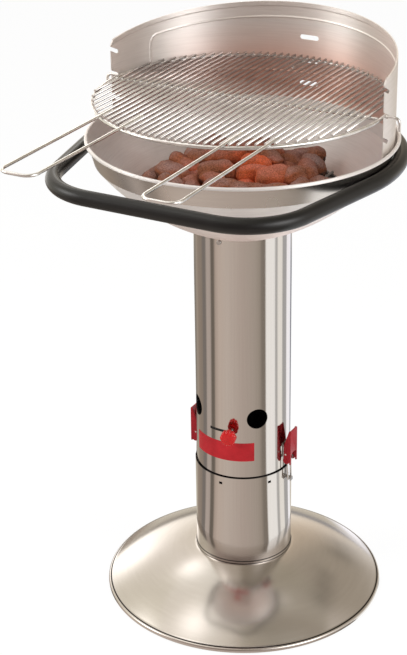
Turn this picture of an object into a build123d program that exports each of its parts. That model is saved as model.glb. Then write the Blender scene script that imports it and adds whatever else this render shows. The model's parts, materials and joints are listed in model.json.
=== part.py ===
from build123d import *
import math
import os

# Charcoal grill on a pedestal, in millimetres. +Z is up, the front is -Y and the origin is the
# middle of the foot on the floor. Angles round the axis are counted from the front towards +X.

# Materials and clearances
sheet = 1.0               # stainless sheet of the foot, pot, column, bowl and windscreen
seat_gap = 0.15           # between fixed pieces whose curved faces lie together
run_gap = 0.3             # between pieces that move past each other
pin_play = 0.05           # radial, pin in its hole
hole_play = 0.2           # radial, screw, bolt or rivet in its hole
through = 6.0             # length of the drills and cutters that pass through sheet

# Fastener proportions, in shank diameters
hex_head_share = 0.66
round_head_share = 0.6
nut_share = 0.8
hex_corner_share = 0.95

# Foot
foot_r = 240.0
foot_top_z = 74.6
foot_neck_r = 85.0
foot_bead_r = 4.5
foot_flange = 20.0
foot_rise = 8.0           # how far the foot domes above a straight line

# Ash pot
pot_height = 168.9
pot_play = 1.5            # column in the pot, radial
pot_seam_height = 5.0
pot_seam_proud = 1.4
tab_count = 6
tab_width = 6.0
tab_reach = 4.5
tab_drop = 10.0           # top of the tabs below the pot's edge
pot_bolt_circle_r = 50.0
pot_bolt_d = 6.0
pot_bolt_count = 3

# Column
column_r = 80.0
column_length = 442.5
vent_d = 36.0
vent_up = 120.5           # middle of the vents above the column's bottom edge
vent_angle = 45.0
slot_up = 96.5            # middle of the slot above the column's bottom edge
slot_half_angle = 15.5
stem_d = 4.0

# Air regulator
damper_margin = 5.0       # ring past the vents, above and below the holes
knob_angle = 13.5         # where the knob stands with the vents open
knob_d = 27.0
knob_length = 19.0
knob_standoff = 9.0
knob_lobes = 8
knob_lobe_r = 3.8
knob_core_r = 11.2
knob_neck = 4.75
knob_neck_r = 6.75
knob_crown_r = 30.0
knob_bore = 13.3

# Bowl
bowl_r = 250.0
bowl_depth = 151.0        # rim above the column's top
rim_curl_r = 1.75         # inside the rolled rim
wall_taper = 9.2          # how far the upper wall draws in, from the rim to the crease
crease_drop = 37.0        # crease below the rim
dish_overhang = 6.0       # flat of the dish past the column
dish_sag = 12.0
collar_height = 24.0
neck_screw_d = 4.0
neck_screw_drop = 8.0
neck_screw_count = 3

# Handle bar
bar_d = 25.0
bar_drop = 30.0           # bar's middle below the rim
bar_reach = 43.5          # bar's middle in front of the rim
bar_arm_angle = 82.0      # where the straight arms leave the bowl's side
bar_end_angle = 140.0
bar_corner_r = 72.0
bar_bolt_d = 5.0
bar_bolt_depth = 9.0
bar_bolt_angles = (94.0, 130.0)

# Windscreen
screen_inset = 4.5        # outer face inside the top of the bowl's wall
screen_end_above = 22.0   # top at the two ends, above the grid's highest level
screen_rise = 32.5        # top at the rear, above the ends
hem_height = 9.0
hem_proud = 1.2
rib_half_angle = 67.5
rib_width = 5.0
rib_proud = 1.6
rib_below_top = 24.0
rib_above_rim = 28.0
rib_corner_r = 16.0
level_pitch = 39.5        # between the three heights of the grid
rear_slot_width = 34.0
rear_slot_height = 8.0
notch_length = 34.0
notch_slope = 26.0
notch_width = 6.4
screen_corner = 7.0

# Cooking grid
grid_above_rim = 56.0     # middle of the grid's rim wire, at the middle level
grid_play = 2.5           # grid in the windscreen, radial
grid_rim_d = 6.0
grid_bar_d = 4.0
grid_bar_pitch = 11.5
grid_bar_margin = 5.0
hook_d = 5.0
hook_bend_r = 8.0
hook_reach = 18.5         # past the windscreen
hook_drop = 20.0
hook_y = 18.0
cross_d = 5.0
tab_wire_d = 4.0
tab_loop_width = 24.0
tab_loop_reach = 5.5
tab_loop_length = 36.0
tab_bend_r = 6.0
handle_wire_d = 5.0
handle_offset = 115.0
handle_space_count = 5    # bar spaces between a handle's two legs
handle_reach = 223.5      # in front of the grid
handle_overlap = 77.5     # legs over the grid
handle_corner_r = 17.0

# Coal grate and charcoal
grate_r = 168.0
grate_rim_d = 6.0
grate_bar_d = 5.0
grate_bar_pitch = 24.0
coal_r_low = 16.0
coal_r_high = 14.0
coal_pile_r = 148.0
coal_top_r = 112.0
coal_length = 84.0
coal_gap = 3.0
coal_sides = 8
coal_end_cut = 0.3        # broken ends, in lump radii

# Latches, in the plane of the right-hand one: out along X and up along Z
latch_width = 25.0
latch_height = 57.0       # lever above its pivot
pivot_out = 8.0           # lever pivot in front of the column
pivot_above = 17.0        # lever pivot above the pot's edge
pivot_d = 4.0
crank = 12.0              # lever pivot to bail pivot
crank_angle = 95.0        # bail pivot past the vertical, towards the column
cheek = 3.0
lever_plate = 2.2
lever_lip = 1.0           # depth of the cheeks at the top
lever_boss_r = 6.0
lever_back = 4.5          # cheeks behind the pivot
lever_back_top = 28.0     # where the cheeks' back edge starts to slope, above the pivot
lever_corner_r = 1.5
lever_notch_top = 14.5    # notch above the pivot
lever_notch_r = 5.0
ear = 1.5
ear_boss_r = 3.6
bracket_low = 4.8         # bracket plate above the pivot
bracket_height = 30.0
rivet_up = (12.6, 25.8)   # rivets above the pivot
ear_top = 9.6             # root of the ears above the pivot
bail_d = 3.0
bail_bend_r = 2.4
bail_spread = 12.0        # between the middles of its legs
catch_width = 22.0        # welded plate and the pot's slot
catch_sheet = 1.5
catch_drop = 20.5         # roof of the hook below the pot's edge
catch_mouth = 8.8
catch_lip = 4.6
catch_foot = 16.0
bail_stand = 6.0          # bail's cross wire in front of the pot
rivet_d = 3.0
rivet_head_r = 2.6

# Sizes that follow from the ones above
pot_in_r = column_r + pot_play
pot_r = pot_in_r + sheet
pot_top_z = foot_top_z + pot_height
column_in_r = column_r - sheet
column_bottom_z = pot_top_z - tab_drop
column_top_z = column_bottom_z + column_length
vent_z = column_bottom_z + vent_up
slot_z = column_bottom_z + slot_up
collar_r = column_in_r - seat_gap
screw_z = column_top_z - neck_screw_drop
rim_z = column_top_z + bowl_depth
crease_z = rim_z - crease_drop
wall_top_r = bowl_r - sheet - 2 * rim_curl_r
wall_top_z = rim_z - sheet - rim_curl_r
crease_r = wall_top_r - wall_taper
dish_r = column_r + dish_overhang
wall_slope = wall_taper / (wall_top_z - crease_z)
wall_tilt = math.degrees(math.atan(wall_slope))
wall_secant = math.hypot(1, wall_slope)
bar_z = rim_z - bar_drop
bar_r = bar_d / 2
bar_front = bowl_r + bar_reach
bar_path_r = crease_r + wall_slope * (bar_z - crease_z) + (bar_r + run_gap) * wall_secant
screen_r = wall_top_r - screen_inset
screen_in_r = screen_r - sheet
screen_bottom_z = crease_z + (screen_r + run_gap + sheet * wall_secant - crease_r) / wall_slope
grid_z = rim_z + grid_above_rim
grid_r = screen_in_r - grid_play
screen_top_end_z = grid_z + level_pitch + screen_end_above
screen_top_rear_z = screen_top_end_z + screen_rise
screen_tilt = math.degrees(math.atan(screen_rise / screen_r))
rib_bottom_z = rim_z + rib_above_rim
grid_path_r = grid_r - grid_rim_d / 2
grid_bar_z = grid_z + grid_rim_d / 2 + grid_bar_d / 2
handle_spread = handle_space_count * grid_bar_pitch
tab_wire_z = grid_z - grid_rim_d / 2 - tab_wire_d / 2 - seat_gap
rear_slot_z = tab_wire_z - tab_wire_d / 2 - run_gap + rear_slot_height / 2
pivot_x = column_r + pivot_out
pivot_z = pot_top_z + pivot_above
bail_top_x = pivot_x + crank * math.cos(math.radians(crank_angle))
bail_top_z = pivot_z + crank * math.sin(math.radians(crank_angle))
bail_low_x = pot_r + bail_stand
bail_low_z = pot_top_z - catch_drop - bail_d / 2 - 2 * run_gap
catch_tongue = bail_spread - bail_d - 6 * run_gap
ear_top_z = pivot_z + ear_top


def polar(radius, angle, z=0.0):
    """Point at an angle from the front, towards +X."""
    turn = math.radians(angle)
    return Vector(radius * math.sin(turn), -radius * math.cos(turn), z)


def radial(radius, angle, z, tilt=0.0):
    """Plane at a point round the axis, whose normal points outwards, or down by the tilt."""
    out = polar(math.cos(math.radians(tilt)), angle, -math.sin(math.radians(tilt)))
    side = polar(1, angle + 90)
    return Plane(origin=polar(radius, angle, z), x_dir=side, z_dir=out)


def at(plane, z, solid):
    """A solid set on a plane, its middle raised along the plane's normal."""
    return plane * Pos(0, 0, z) * solid


def tube(outer, inner, low, high):
    """A plain round tube about the Z axis."""
    ring = Circle(outer) - Circle(inner)
    return Pos(0, 0, low) * extrude(ring, high - low)


def sector(inner, outer, low, high, centre, half_angle):
    """Part of a tube, centred on an angle from the front."""
    section = Plane.XZ * Pos((inner + outer) / 2, (low + high) / 2) * Rectangle(outer - inner, high - low)
    return Rot(0, 0, centre - 90 - half_angle) * revolve(section, Axis.Z, 2 * half_angle)


def turned(path):
    """Sheet metal turned about Z: the path is its outer face, the metal lies on its right."""
    return revolve(Plane.XZ * make_face(offset(Wire(path.edges()), sheet, side=Side.RIGHT)), Axis.Z)


def wire(points, diameter, corner_r=None):
    """Round wire along points, with bent corners."""
    path = FilletPolyline(*points, radius=corner_r) if corner_r else Line(*points)
    start = Plane(origin=path @ 0, z_dir=path % 0)
    return sweep(start * Circle(diameter / 2), path=path)


def both_sides(solid):
    """The right-hand piece and the left-hand one, half a turn round the axis."""
    return {"right": solid, "left": Rot(0, 0, 180) * solid}


def base_foot():
    cone_end = (foot_r - foot_bead_r, 2 * foot_bead_r)
    bead_end = (foot_r - foot_bead_r, 0)
    path = Line((0, foot_top_z), (foot_neck_r, foot_top_z))
    path += SagittaArc((foot_neck_r, foot_top_z), cone_end, foot_rise)
    path += ThreePointArc(cone_end, (foot_r, foot_bead_r), bead_end)
    path += Line(bead_end, (foot_r - foot_flange, 0))
    foot = turned(path)
    for angle in pot_bolt_angles():
        spot = Plane(polar(pot_bolt_circle_r, angle, foot_top_z))
        foot -= spot * Cylinder(pot_bolt_d / 2 + hole_play, through)
    return foot


def pot_bolt_angles():
    return [index * 360 / pot_bolt_count for index in range(pot_bolt_count)]


def foot_bolts():
    """Hex bolts from inside the pot, and their nuts under the foot's top plate."""
    head_height = hex_head_share * pot_bolt_d
    nut_height = nut_share * pot_bolt_d
    corner_r = hex_corner_share * pot_bolt_d
    shank = 2 * sheet + 2 * nut_height
    bolts = []
    nuts = []
    for angle in pot_bolt_angles():
        spot = Plane(polar(pot_bolt_circle_r, angle, foot_top_z + sheet))
        head = extrude(RegularPolygon(corner_r, 6), head_height)
        bolts.append(spot * (head + Pos(0, 0, -shank / 2) * Cylinder(pot_bolt_d / 2, shank)))
        nut = RegularPolygon(corner_r, 6) - Circle(pot_bolt_d / 2 + pin_play)
        nuts.append(spot * Pos(0, 0, -2 * sheet - nut_height) * extrude(nut, nut_height))
    return bolts, nuts


def ash_pot():
    pot = tube(pot_r, pot_in_r, foot_top_z, pot_top_z)
    pot += Pos(0, 0, foot_top_z + sheet / 2) * Cylinder(pot_r - sheet / 2, sheet)
    seam = tube(pot_r + pot_seam_proud, pot_r - sheet / 2, foot_top_z, foot_top_z + pot_seam_height)
    outer_edges = seam.edges().filter_by(GeomType.CIRCLE).group_by(SortBy.RADIUS)[-1]
    pot += chamfer(outer_edges, pot_seam_proud / 2)
    for index in range(tab_count):
        angle = index * 360 / tab_count
        wall = radial(pot_in_r, angle, column_bottom_z)
        pot -= wall * Pos(0, -tab_reach / 2 - sheet, 0) * Box(tab_width, tab_reach, through)
        tab = Box(tab_width, sheet, tab_reach + sheet)
        pot += wall * Pos(0, -sheet / 2, (sheet - tab_reach) / 2) * tab
    play = 2 * hole_play
    slot_low = pot_top_z - catch_drop - play
    slot_high = pot_top_z - catch_drop + catch_sheet + play
    slot_half = math.degrees((catch_width / 2 + play) / pot_r)
    for side in (90, -90):
        pot -= sector(pot_in_r - sheet, pot_r + sheet, slot_low, slot_high, side, slot_half)
    for angle in pot_bolt_angles():
        spot = Plane(polar(pot_bolt_circle_r, angle, foot_top_z))
        pot -= spot * Cylinder(pot_bolt_d / 2 + hole_play, through)
    return pot


def pot_catch():
    """Hook plate welded inside the pot, led out through its slot and turned down over the bail."""
    half = math.degrees(catch_width / 2 / pot_r)
    tongue = math.degrees(catch_tongue / 2 / pot_r)
    roof = pot_top_z - catch_drop
    back = pot_in_r - seat_gap
    lip = pot_r + catch_mouth
    plate = sector(back - catch_sheet, back, roof - catch_foot, roof + catch_sheet, 90, half)
    plate += sector(back - catch_sheet, lip + catch_sheet, roof, roof + catch_sheet, 90, tongue)
    plate += sector(lip, lip + catch_sheet, roof - catch_lip, roof + catch_sheet, 90, tongue)
    return plate


def neck_angles():
    return [index * 360 / neck_screw_count for index in range(neck_screw_count)]


def column_tube():
    column = tube(column_r, column_in_r, column_bottom_z, column_top_z)
    for turn in (vent_angle, -vent_angle):
        column -= radial(0, turn, vent_z) * Cylinder(vent_d / 2, 3 * column_r)
    slot_r = stem_d / 2 + run_gap
    low = slot_z - slot_r
    high = slot_z + slot_r
    column -= sector(column_in_r - sheet, column_r + sheet, low, high, 0, slot_half_angle)
    for end in (slot_half_angle, -slot_half_angle):
        column -= radial(column_r, end, slot_z) * Cylinder(slot_r, through)
    for angle in neck_angles():
        column -= radial(column_r, angle, screw_z) * Cylinder(neck_screw_d / 2 + hole_play, through)
    for side in (90, -90):
        for z in rivet_heights():
            column -= radial(column_r, side, z) * Cylinder(rivet_d / 2 + hole_play, through)
    return column


def neck_screws():
    """Pan-head screws through the column and the bowl's collar, with nuts inside."""
    screws = []
    nuts = []
    head_height = round_head_share * neck_screw_d
    nut_height = nut_share * neck_screw_d
    nut_face = collar_r - sheet - seat_gap
    for angle in neck_angles():
        spot = radial(0, angle, screw_z)
        head = at(spot, column_r + seat_gap + head_height / 2, Cylinder(neck_screw_d, head_height))
        outer_edge = head.edges().sort_by(lambda e: (e.center() - spot.origin).length)[-1]
        head = fillet(outer_edge, head_height / 2)
        length = column_r + seat_gap - nut_face + 3 * nut_height / 2
        shank = at(spot, column_r + seat_gap - length / 2, Cylinder(neck_screw_d / 2, length))
        screws.append(head + shank)
        nut = RegularPolygon(neck_screw_d, 6) - Circle(neck_screw_d / 2 + pin_play)
        nuts.append(spot * Pos(0, 0, nut_face - nut_height) * extrude(nut, nut_height))
    return screws, nuts


def damper_ring():
    low = slot_z - stem_d - damper_margin
    high = vent_z + vent_d / 2 + damper_margin
    outer = column_in_r - run_gap
    ring = tube(outer, outer - sheet, low, high)
    for turn in (vent_angle, -vent_angle):
        ring -= radial(0, turn, vent_z) * Cylinder(vent_d / 2, 3 * column_r)
    ring -= radial(outer, knob_angle, slot_z) * Cylinder(stem_d / 2 + pin_play, through)
    return ring


def damper_stem():
    """Screw from inside the ring, out through the slot into the knob."""
    spot = radial(0, knob_angle, slot_z)
    inner = column_in_r - run_gap - sheet - seat_gap
    end = column_r + knob_standoff + knob_bore - pin_play
    head = at(spot, inner - stem_d / 4, Cylinder(stem_d, stem_d / 2))
    return head + at(spot, (inner + end) / 2, Cylinder(stem_d / 2, end - inner))


def damper_knob():
    """Round knob with lobes, a short neck and a crowned face."""
    spot = radial(column_r, knob_angle, slot_z)
    outline = Circle(knob_core_r)
    for index in range(knob_lobes):
        turn = Rot(0, 0, index * 360 / knob_lobes)
        outline += turn * Pos(knob_d / 2 - knob_lobe_r, 0) * Circle(knob_lobe_r)
    body = Pos(0, 0, knob_standoff + knob_neck) * extrude(outline, knob_length - knob_neck)
    body &= Pos(0, 0, knob_standoff + knob_length - knob_crown_r) * Sphere(knob_crown_r)
    body += Pos(0, 0, knob_standoff + knob_neck / 2) * Cylinder(knob_neck_r, knob_neck)
    body -= Pos(0, 0, knob_standoff + knob_bore / 2) * Cylinder(stem_d / 2 + pin_play, knob_bore)
    return spot * body


def bowl():
    crest = (wall_top_r + rim_curl_r, wall_top_z + rim_curl_r)
    curl_end = (wall_top_r + 2 * rim_curl_r, wall_top_z)
    path = Line((curl_end[0], curl_end[1] - rim_curl_r), curl_end)
    path += ThreePointArc(curl_end, crest, (wall_top_r, wall_top_z))
    path += Line((wall_top_r, wall_top_z), (crease_r, crease_z))
    path += SagittaArc((crease_r, crease_z), (dish_r, column_top_z), dish_sag)
    path += Line((dish_r, column_top_z), (collar_r, column_top_z))
    path += Line((collar_r, column_top_z), (collar_r, column_top_z - collar_height))
    dish = turned(path)
    for angle in neck_angles():
        dish -= radial(collar_r, angle, screw_z) * Cylinder(neck_screw_d / 2 + hole_play, through)
    for spot in bar_bolt_planes():
        dish -= spot * Pos(0, 0, -bar_r) * Cylinder(bar_bolt_d / 2 + hole_play, through)
    return dish


def bar_bolt_planes():
    """Planes at the bar's middle, their normals square to the bowl's wall."""
    angles = [side * angle for side in (1, -1) for angle in bar_bolt_angles]
    return [radial(bar_path_r, angle, bar_z, wall_tilt) for angle in angles]


def bar_path():
    """D-shaped line of the bar: round the bowl's sides, straight arms and a straight front."""
    leave = {side: polar(bar_path_r, side * bar_arm_angle) for side in (1, -1)}
    turn = math.radians(bar_arm_angle)
    run = (bar_front - bar_path_r * math.cos(turn)) / math.sin(turn)
    corner_x = bar_path_r * math.sin(turn) - run * math.cos(turn)
    wrap = bar_end_angle - bar_arm_angle
    front = FilletPolyline(leave[-1], (-corner_x, -bar_front), (corner_x, -bar_front), leave[1],
                           radius=bar_corner_r)
    right = CenterArc((0, 0), bar_path_r, bar_arm_angle - 90, wrap)
    left = CenterArc((0, 0), bar_path_r, -90 - bar_end_angle, wrap)
    return Pos(0, 0, bar_z) * Wire([*left.edges(), *front.edges(), *right.edges()])


def handle_bar():
    path = bar_path()
    bar = sweep(Plane(origin=path @ 0, z_dir=path % 0) * Circle(bar_r), path=path)
    for spot in bar_bolt_planes():
        hole = Cylinder(bar_bolt_d / 2 + pin_play, 2 * (bar_bolt_depth + pin_play))
        bar -= spot * Pos(0, 0, -bar_r) * hole
    return bar


def handle_caps():
    """Rounded plugs on the bar's two ends."""
    path = bar_path()
    ends = (Plane(origin=path @ 0, z_dir=-(path % 0)), Plane(origin=path @ 1, z_dir=path % 1))
    half = Sphere(bar_r) & Pos(0, 0, bar_r) * Box(bar_d, bar_d, bar_d)
    flat = half & Pos(0, 0, bar_r / 4) * Box(bar_d, bar_d, bar_r / 2)
    return [end * Pos(0, 0, seat_gap) * flat for end in ends]


def handle_bolts():
    """Dome-head bolts from inside the bowl into the bar."""
    bolts = []
    head_height = round_head_share * bar_bolt_d
    seat = -bar_r - run_gap - sheet - seat_gap
    for spot in bar_bolt_planes():
        head = Cylinder(bar_bolt_d, head_height)
        head = fillet(head.edges().sort_by(Axis.Z)[0], head_height / 2)
        length = -bar_r + bar_bolt_depth - seat
        shank = Cylinder(bar_bolt_d / 2, length)
        bolt = Pos(0, 0, seat - head_height / 2) * head + Pos(0, 0, seat + length / 2) * shank
        bolts.append(spot * bolt)
    return bolts


def below_top(drop):
    """Everything under the sloping plane of the windscreen's top, lowered by a drop."""
    size = 4 * screen_r
    middle_z = screen_top_end_z - drop
    return Pos(0, 0, middle_z) * Rot(screen_tilt, 0, 0) * Pos(0, 0, -size / 2) * Box(size, size, size)


def rib_window(inset):
    """Block with rounded corners that bounds one side of the pressed rib."""
    half = rib_half_angle - math.degrees(inset / screen_in_r)
    inner = screen_in_r - through
    outer = screen_in_r + sheet / 2
    block = sector(inner, outer, rib_bottom_z + inset, screen_top_rear_z, 180, half)
    block &= below_top(rib_below_top + inset)
    straight = block.edges().filter_by(GeomType.LINE)
    corners = [edge for edge in straight if abs(edge.length - (outer - inner)) < sheet / 2]
    return fillet(corners, rib_corner_r - inset)


def windscreen():
    shell = sector(screen_in_r, screen_r, screen_bottom_z, screen_top_rear_z + hem_height, 180, 90)
    shell &= below_top(0)
    hem_low = screen_top_end_z - 2 * hem_height
    hem = sector(screen_in_r - hem_proud, screen_r, hem_low, screen_top_rear_z + hem_height, 180, 90)
    shell += hem & below_top(0) - below_top(hem_height)
    ridge = sector(screen_in_r - rib_proud, screen_in_r + sheet / 2, rib_bottom_z - rib_width,
                   screen_top_rear_z, 180, rib_half_angle + rib_width)
    shell += ridge & (rib_window(0) - rib_window(rib_width))
    for level in (-1, 0, 1):
        z = level * level_pitch
        slot = extrude(SlotOverall(rear_slot_width, rear_slot_height), through, both=True)
        shell -= radial(screen_r, 180, rear_slot_z + z) * slot
        shell -= notches(z)
    for side in (1, -1):
        corner = Pos(side * screen_r, 0, screen_top_end_z) * Rot(45, 0, 0)
        width = math.sqrt(2) * screen_corner
        shell -= corner * Box(4 * through, width, width)
    return shell


def notches(z):
    """Cut that rises to both end edges, in which the grid's side hooks lie at one height."""
    lead = Plane(origin=(0, hook_y, grid_z + z), x_dir=(0, -1, 0), z_dir=(1, 0, 0))
    cut = Pos(notch_length / 2, 0) * Rectangle(notch_length, notch_width) + Circle(notch_width / 2)
    return lead * Rot(0, 0, -notch_slope) * extrude(cut, 2 * screen_r, both=True)


def grid_bar_places():
    count = int((grid_path_r - grid_bar_margin) / grid_bar_pitch)
    return [index * grid_bar_pitch for index in range(-count, count + 1)]


def grid_bars():
    """Parallel bars on the rim, all of them front to back."""
    bars = []
    for x in grid_bar_places():
        half = math.sqrt(grid_path_r**2 - x**2)
        bars.append(Pos(x, 0, grid_bar_z + seat_gap) * Rot(90, 0, 0) * Cylinder(grid_bar_d / 2, 2 * half))
    return bars


def grid_cross_wire():
    half = math.sqrt((grid_path_r - grid_rim_d / 2 - seat_gap)**2 - (cross_d / 2)**2)
    z = grid_bar_z - grid_bar_d / 2 - cross_d / 2
    return Pos(0, 0, z) * Rot(0, 90, 0) * Cylinder(cross_d / 2, 2 * half)


def grid_side_hook(side):
    """Wire from the rim out through the notch, then down outside the windscreen."""
    inner = math.sqrt((grid_r + seat_gap)**2 - (hook_y - hook_d / 2)**2)
    outer = screen_r + hook_reach
    points = [(inner, hook_y, grid_z), (outer, hook_y, grid_z), (outer, hook_y, grid_z - hook_drop)]
    return wire([(side * x, y, z) for x, y, z in points], hook_d, hook_bend_r)


def grid_rear_tab():
    """Wire loop under the rear of the rim, whose nose enters the windscreen's slot."""
    half = (tab_loop_width - tab_wire_d) / 2
    nose = screen_r + tab_loop_reach - tab_wire_d / 2
    start = grid_path_r - tab_loop_length
    z = tab_wire_z
    points = [(-half, start, z), (-half, nose, z), (half, nose, z), (half, start, z)]
    return wire(points, tab_wire_d, tab_bend_r)


def grid_handle(side):
    """Wire loop welded on the rim, its legs between two bars, and reaching out to the front."""
    z = grid_z + (grid_rim_d + handle_wire_d) / 2 + seat_gap
    left = side * handle_offset - handle_spread / 2
    right = side * handle_offset + handle_spread / 2
    back = handle_overlap - grid_r
    nose = -grid_r - handle_reach + handle_wire_d / 2
    points = [(left, back, z), (left, nose, z), (right, nose, z), (right, back, z)]
    return wire(points, handle_wire_d, handle_corner_r)


def dish_height(radius, clear):
    """Height of a point above the bowl's dish, a clear distance from its inner face."""
    chord = math.hypot(crease_r - dish_r, crease_z - column_top_z)
    arc_r = (chord**2 / 4 + dish_sag**2) / (2 * dish_sag)
    reach = (arc_r - dish_sag) / chord
    centre_r = (crease_r + dish_r) / 2 - reach * (crease_z - column_top_z)
    centre_z = (crease_z + column_top_z) / 2 + reach * (crease_r - dish_r)
    return centre_z - math.sqrt((arc_r - sheet - clear)**2 - (radius - centre_r)**2)


grate_z = dish_height(grate_r - grate_rim_d / 2, grate_rim_d / 2 + run_gap)
grate_bar_z = grate_z + grate_rim_d / 2 + grate_bar_d / 2 + seat_gap
coal_z = grate_bar_z + grate_bar_d / 2


def coal_grate_bars():
    reach = grate_r - grate_rim_d / 2
    count = int((reach - grate_bar_pitch / 4) / grate_bar_pitch)
    bars = []
    for index in range(-count, count + 1):
        x = index * grate_bar_pitch
        half = math.sqrt(reach**2 - x**2)
        bars.append(Pos(x, 0, grate_bar_z) * Rot(90, 0, 0) * Cylinder(grate_bar_d / 2, 2 * half))
    return bars


def lump(length, radius):
    """Faceted log of charcoal along X, with broken ends and an edge at its top and bottom."""
    log = extrude(RegularPolygon(radius, coal_sides), length / 2, both=True)
    ends = log.edges().filter_by(lambda e: abs(abs(e.center().Z) - length / 2) < 0.01)
    return Rot(0, 90, 0) * chamfer(ends, coal_end_cut * radius)


def coal_row(across, limit, radius):
    """An odd number of lumps end to end along a chord of the pile."""
    span = 2 * math.sqrt(limit**2 - across**2)
    pairs = max(0, round((span / coal_length - 1) / 2))
    step = span / (2 * pairs + 1)
    log = lump(step - coal_gap, radius)
    return [Pos(index * step, across, 0) * log for index in range(-pairs, pairs + 1)]


def charcoal_lumps():
    """Two layers, the upper one laid across the lower."""
    lumps = []
    for limit, radius, z, turn in (
        (coal_pile_r, coal_r_low, coal_z + coal_r_low + run_gap, 0),
        (coal_top_r, coal_r_high, coal_z + 2 * coal_r_low + coal_r_high + 2 * run_gap, 90),
    ):
        step = 2 * radius + coal_gap
        rows = int((limit - radius) / step)
        for index in range(-rows, rows + 1):
            row = coal_row(index * step, limit, radius)
            lumps += [Rot(0, 0, turn) * Pos(0, 0, z) * log for log in row]
    return lumps


def rivet_heights():
    return [pivot_z + up for up in rivet_up]


def latch_bracket():
    """Curved plate on the column with two ears for the lever's pivot."""
    half = latch_width / 2 - cheek - run_gap
    back = column_r + seat_gap
    low = pivot_z + bracket_low
    high = pivot_z + bracket_height
    plate = sector(back, back + ear, low, high, 90, math.degrees(half / back))
    root_x = back + ear / 2
    lug = Pos(pivot_x, pivot_z) * Circle(ear_boss_r)
    lug += make_hull(lug.edges() + Line((root_x, low), (root_x, ear_top_z)).edges())
    lug -= Pos(pivot_x, pivot_z) * Circle(pivot_d / 2 + pin_play)
    lug -= Circle(back + ear / 4)
    for y in (half - ear, -half):
        plate += Plane.XZ * Pos(0, 0, -y - ear) * extrude(lug, ear)
    for z in rivet_heights():
        plate -= radial(back, 90, z) * Cylinder(rivet_d / 2 + hole_play, 2 * through)
    return plate


def latch_rivets():
    """Rivets through the bracket and the column's wall."""
    rivets = []
    for side in (90, -90):
        for z in rivet_heights():
            spot = radial(0, side, z)
            outer = column_r + ear + 2 * seat_gap
            inner = column_in_r - seat_gap
            shank = at(spot, (outer + inner) / 2, Cylinder(rivet_d / 2, outer - inner))
            head = at(spot, outer + rivet_d / 6, Cylinder(rivet_head_r, rivet_d / 3))
            tail = at(spot, inner - rivet_d / 6, Cylinder(rivet_head_r, rivet_d / 3))
            rivets.append(shank + head + tail)
    return rivets


def latch_pins():
    """Stub pins through lever and ears, leaving the middle free for the bail."""
    long = cheek + run_gap + ear
    middle = latch_width / 2 - long / 2
    pins = []
    for side in (1, -1):
        for y in (middle, -middle):
            pins.append(Pos(side * pivot_x, y, pivot_z) * Rot(90, 0, 0) * Cylinder(pivot_d / 2, long))
    return pins


def latch_lever():
    """Upright lever: a front plate between two cheeks that taper to the top, and a notch for the bail."""
    front = lever_boss_r
    back = front + lever_plate
    cheek_face = Circle(lever_boss_r)
    cheek_face += make_face(Polyline((-lever_back, 0), (-lever_back, lever_back_top),
                                     (front - lever_lip, latch_height), (front, latch_height),
                                     (front, 0), close=True))
    cheek_face -= Circle(pivot_d / 2 + pin_play)
    bail_spot = Pos(bail_top_x - pivot_x, bail_top_z - pivot_z)
    cheek_face -= bail_spot * Circle(bail_d / 2 + pin_play)
    plate_face = make_face(Polyline((front, -lever_boss_r), (front, latch_height), (back, latch_height),
                                    (back, -lever_boss_r), close=True))
    spot = Plane(origin=(pivot_x, 0, pivot_z), x_dir=(1, 0, 0), z_dir=(0, -1, 0))
    lever = spot * extrude(plate_face, latch_width / 2, both=True)
    for y in (latch_width / 2 - cheek, -latch_width / 2):
        lever += spot * Pos(0, 0, y) * extrude(cheek_face, cheek)
    top_edges = lever.edges().filter_by(Axis.X).group_by(Axis.Z)[-1].sort_by(Axis.Y)
    lever = fillet([top_edges[0], top_edges[-1]], lever_corner_r)
    notch = Box(2 * lever_plate, 2 * lever_notch_top, latch_width - 2 * cheek)
    notch = fillet(notch.edges().filter_by(Axis.X), lever_notch_r)
    return lever - spot * Pos(front + lever_plate / 2, 0, 0) * notch


def latch_bail():
    """Wire bail: ends turned out into the lever's cheeks, legs down to a cross wire under the hook."""
    half = bail_spread / 2
    end = latch_width / 2 - run_gap
    points = [(bail_top_x, -end, bail_top_z), (bail_top_x, -half, bail_top_z),
              (bail_low_x, -half, bail_low_z), (bail_low_x, half, bail_low_z),
              (bail_top_x, half, bail_top_z), (bail_top_x, end, bail_top_z)]
    return wire(points, bail_d, bail_bend_r)


def write(name, solids):
    """One file for each piece; a group of like pieces shares a file as separate solids."""
    shape = Compound(children=solids) if isinstance(solids, list) else solids
    export_step(shape, os.path.join("parts", name + ".step"))


os.makedirs("parts", exist_ok=True)
bolts, bolt_nuts = foot_bolts()
screws, screw_nuts = neck_screws()
rim_wire = Pos(0, 0, grid_z) * Torus(grid_path_r, grid_rim_d / 2)
grate_wire = Pos(0, 0, grate_z) * Torus(grate_r - grate_rim_d / 2, grate_rim_d / 2)
pieces = {
    "base_foot": base_foot(),
    "foot_bolts": bolts,
    "foot_nuts": bolt_nuts,
    "ash_pot": ash_pot(),
    "column_tube": column_tube(),
    "bowl": bowl(),
    "neck_screws": screws,
    "neck_nuts": screw_nuts,
    "handle_bar": handle_bar(),
    "handle_caps": handle_caps(),
    "handle_bolts": handle_bolts(),
    "damper_ring": damper_ring(),
    "damper_stem": damper_stem(),
    "damper_knob": damper_knob(),
    "latch_rivets": latch_rivets(),
    "latch_pins": latch_pins(),
    "windscreen": windscreen(),
    "grid_rim": rim_wire,
    "grid_bars": grid_bars(),
    "grid_cross_wire": grid_cross_wire(),
    "grid_side_hooks": [grid_side_hook(1), grid_side_hook(-1)],
    "grid_rear_tab": grid_rear_tab(),
    "grid_handle_right": grid_handle(1),
    "grid_handle_left": grid_handle(-1),
    "coal_grate_rim": grate_wire,
    "coal_grate_bars": coal_grate_bars(),
    "charcoal_lumps": charcoal_lumps(),
}
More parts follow.
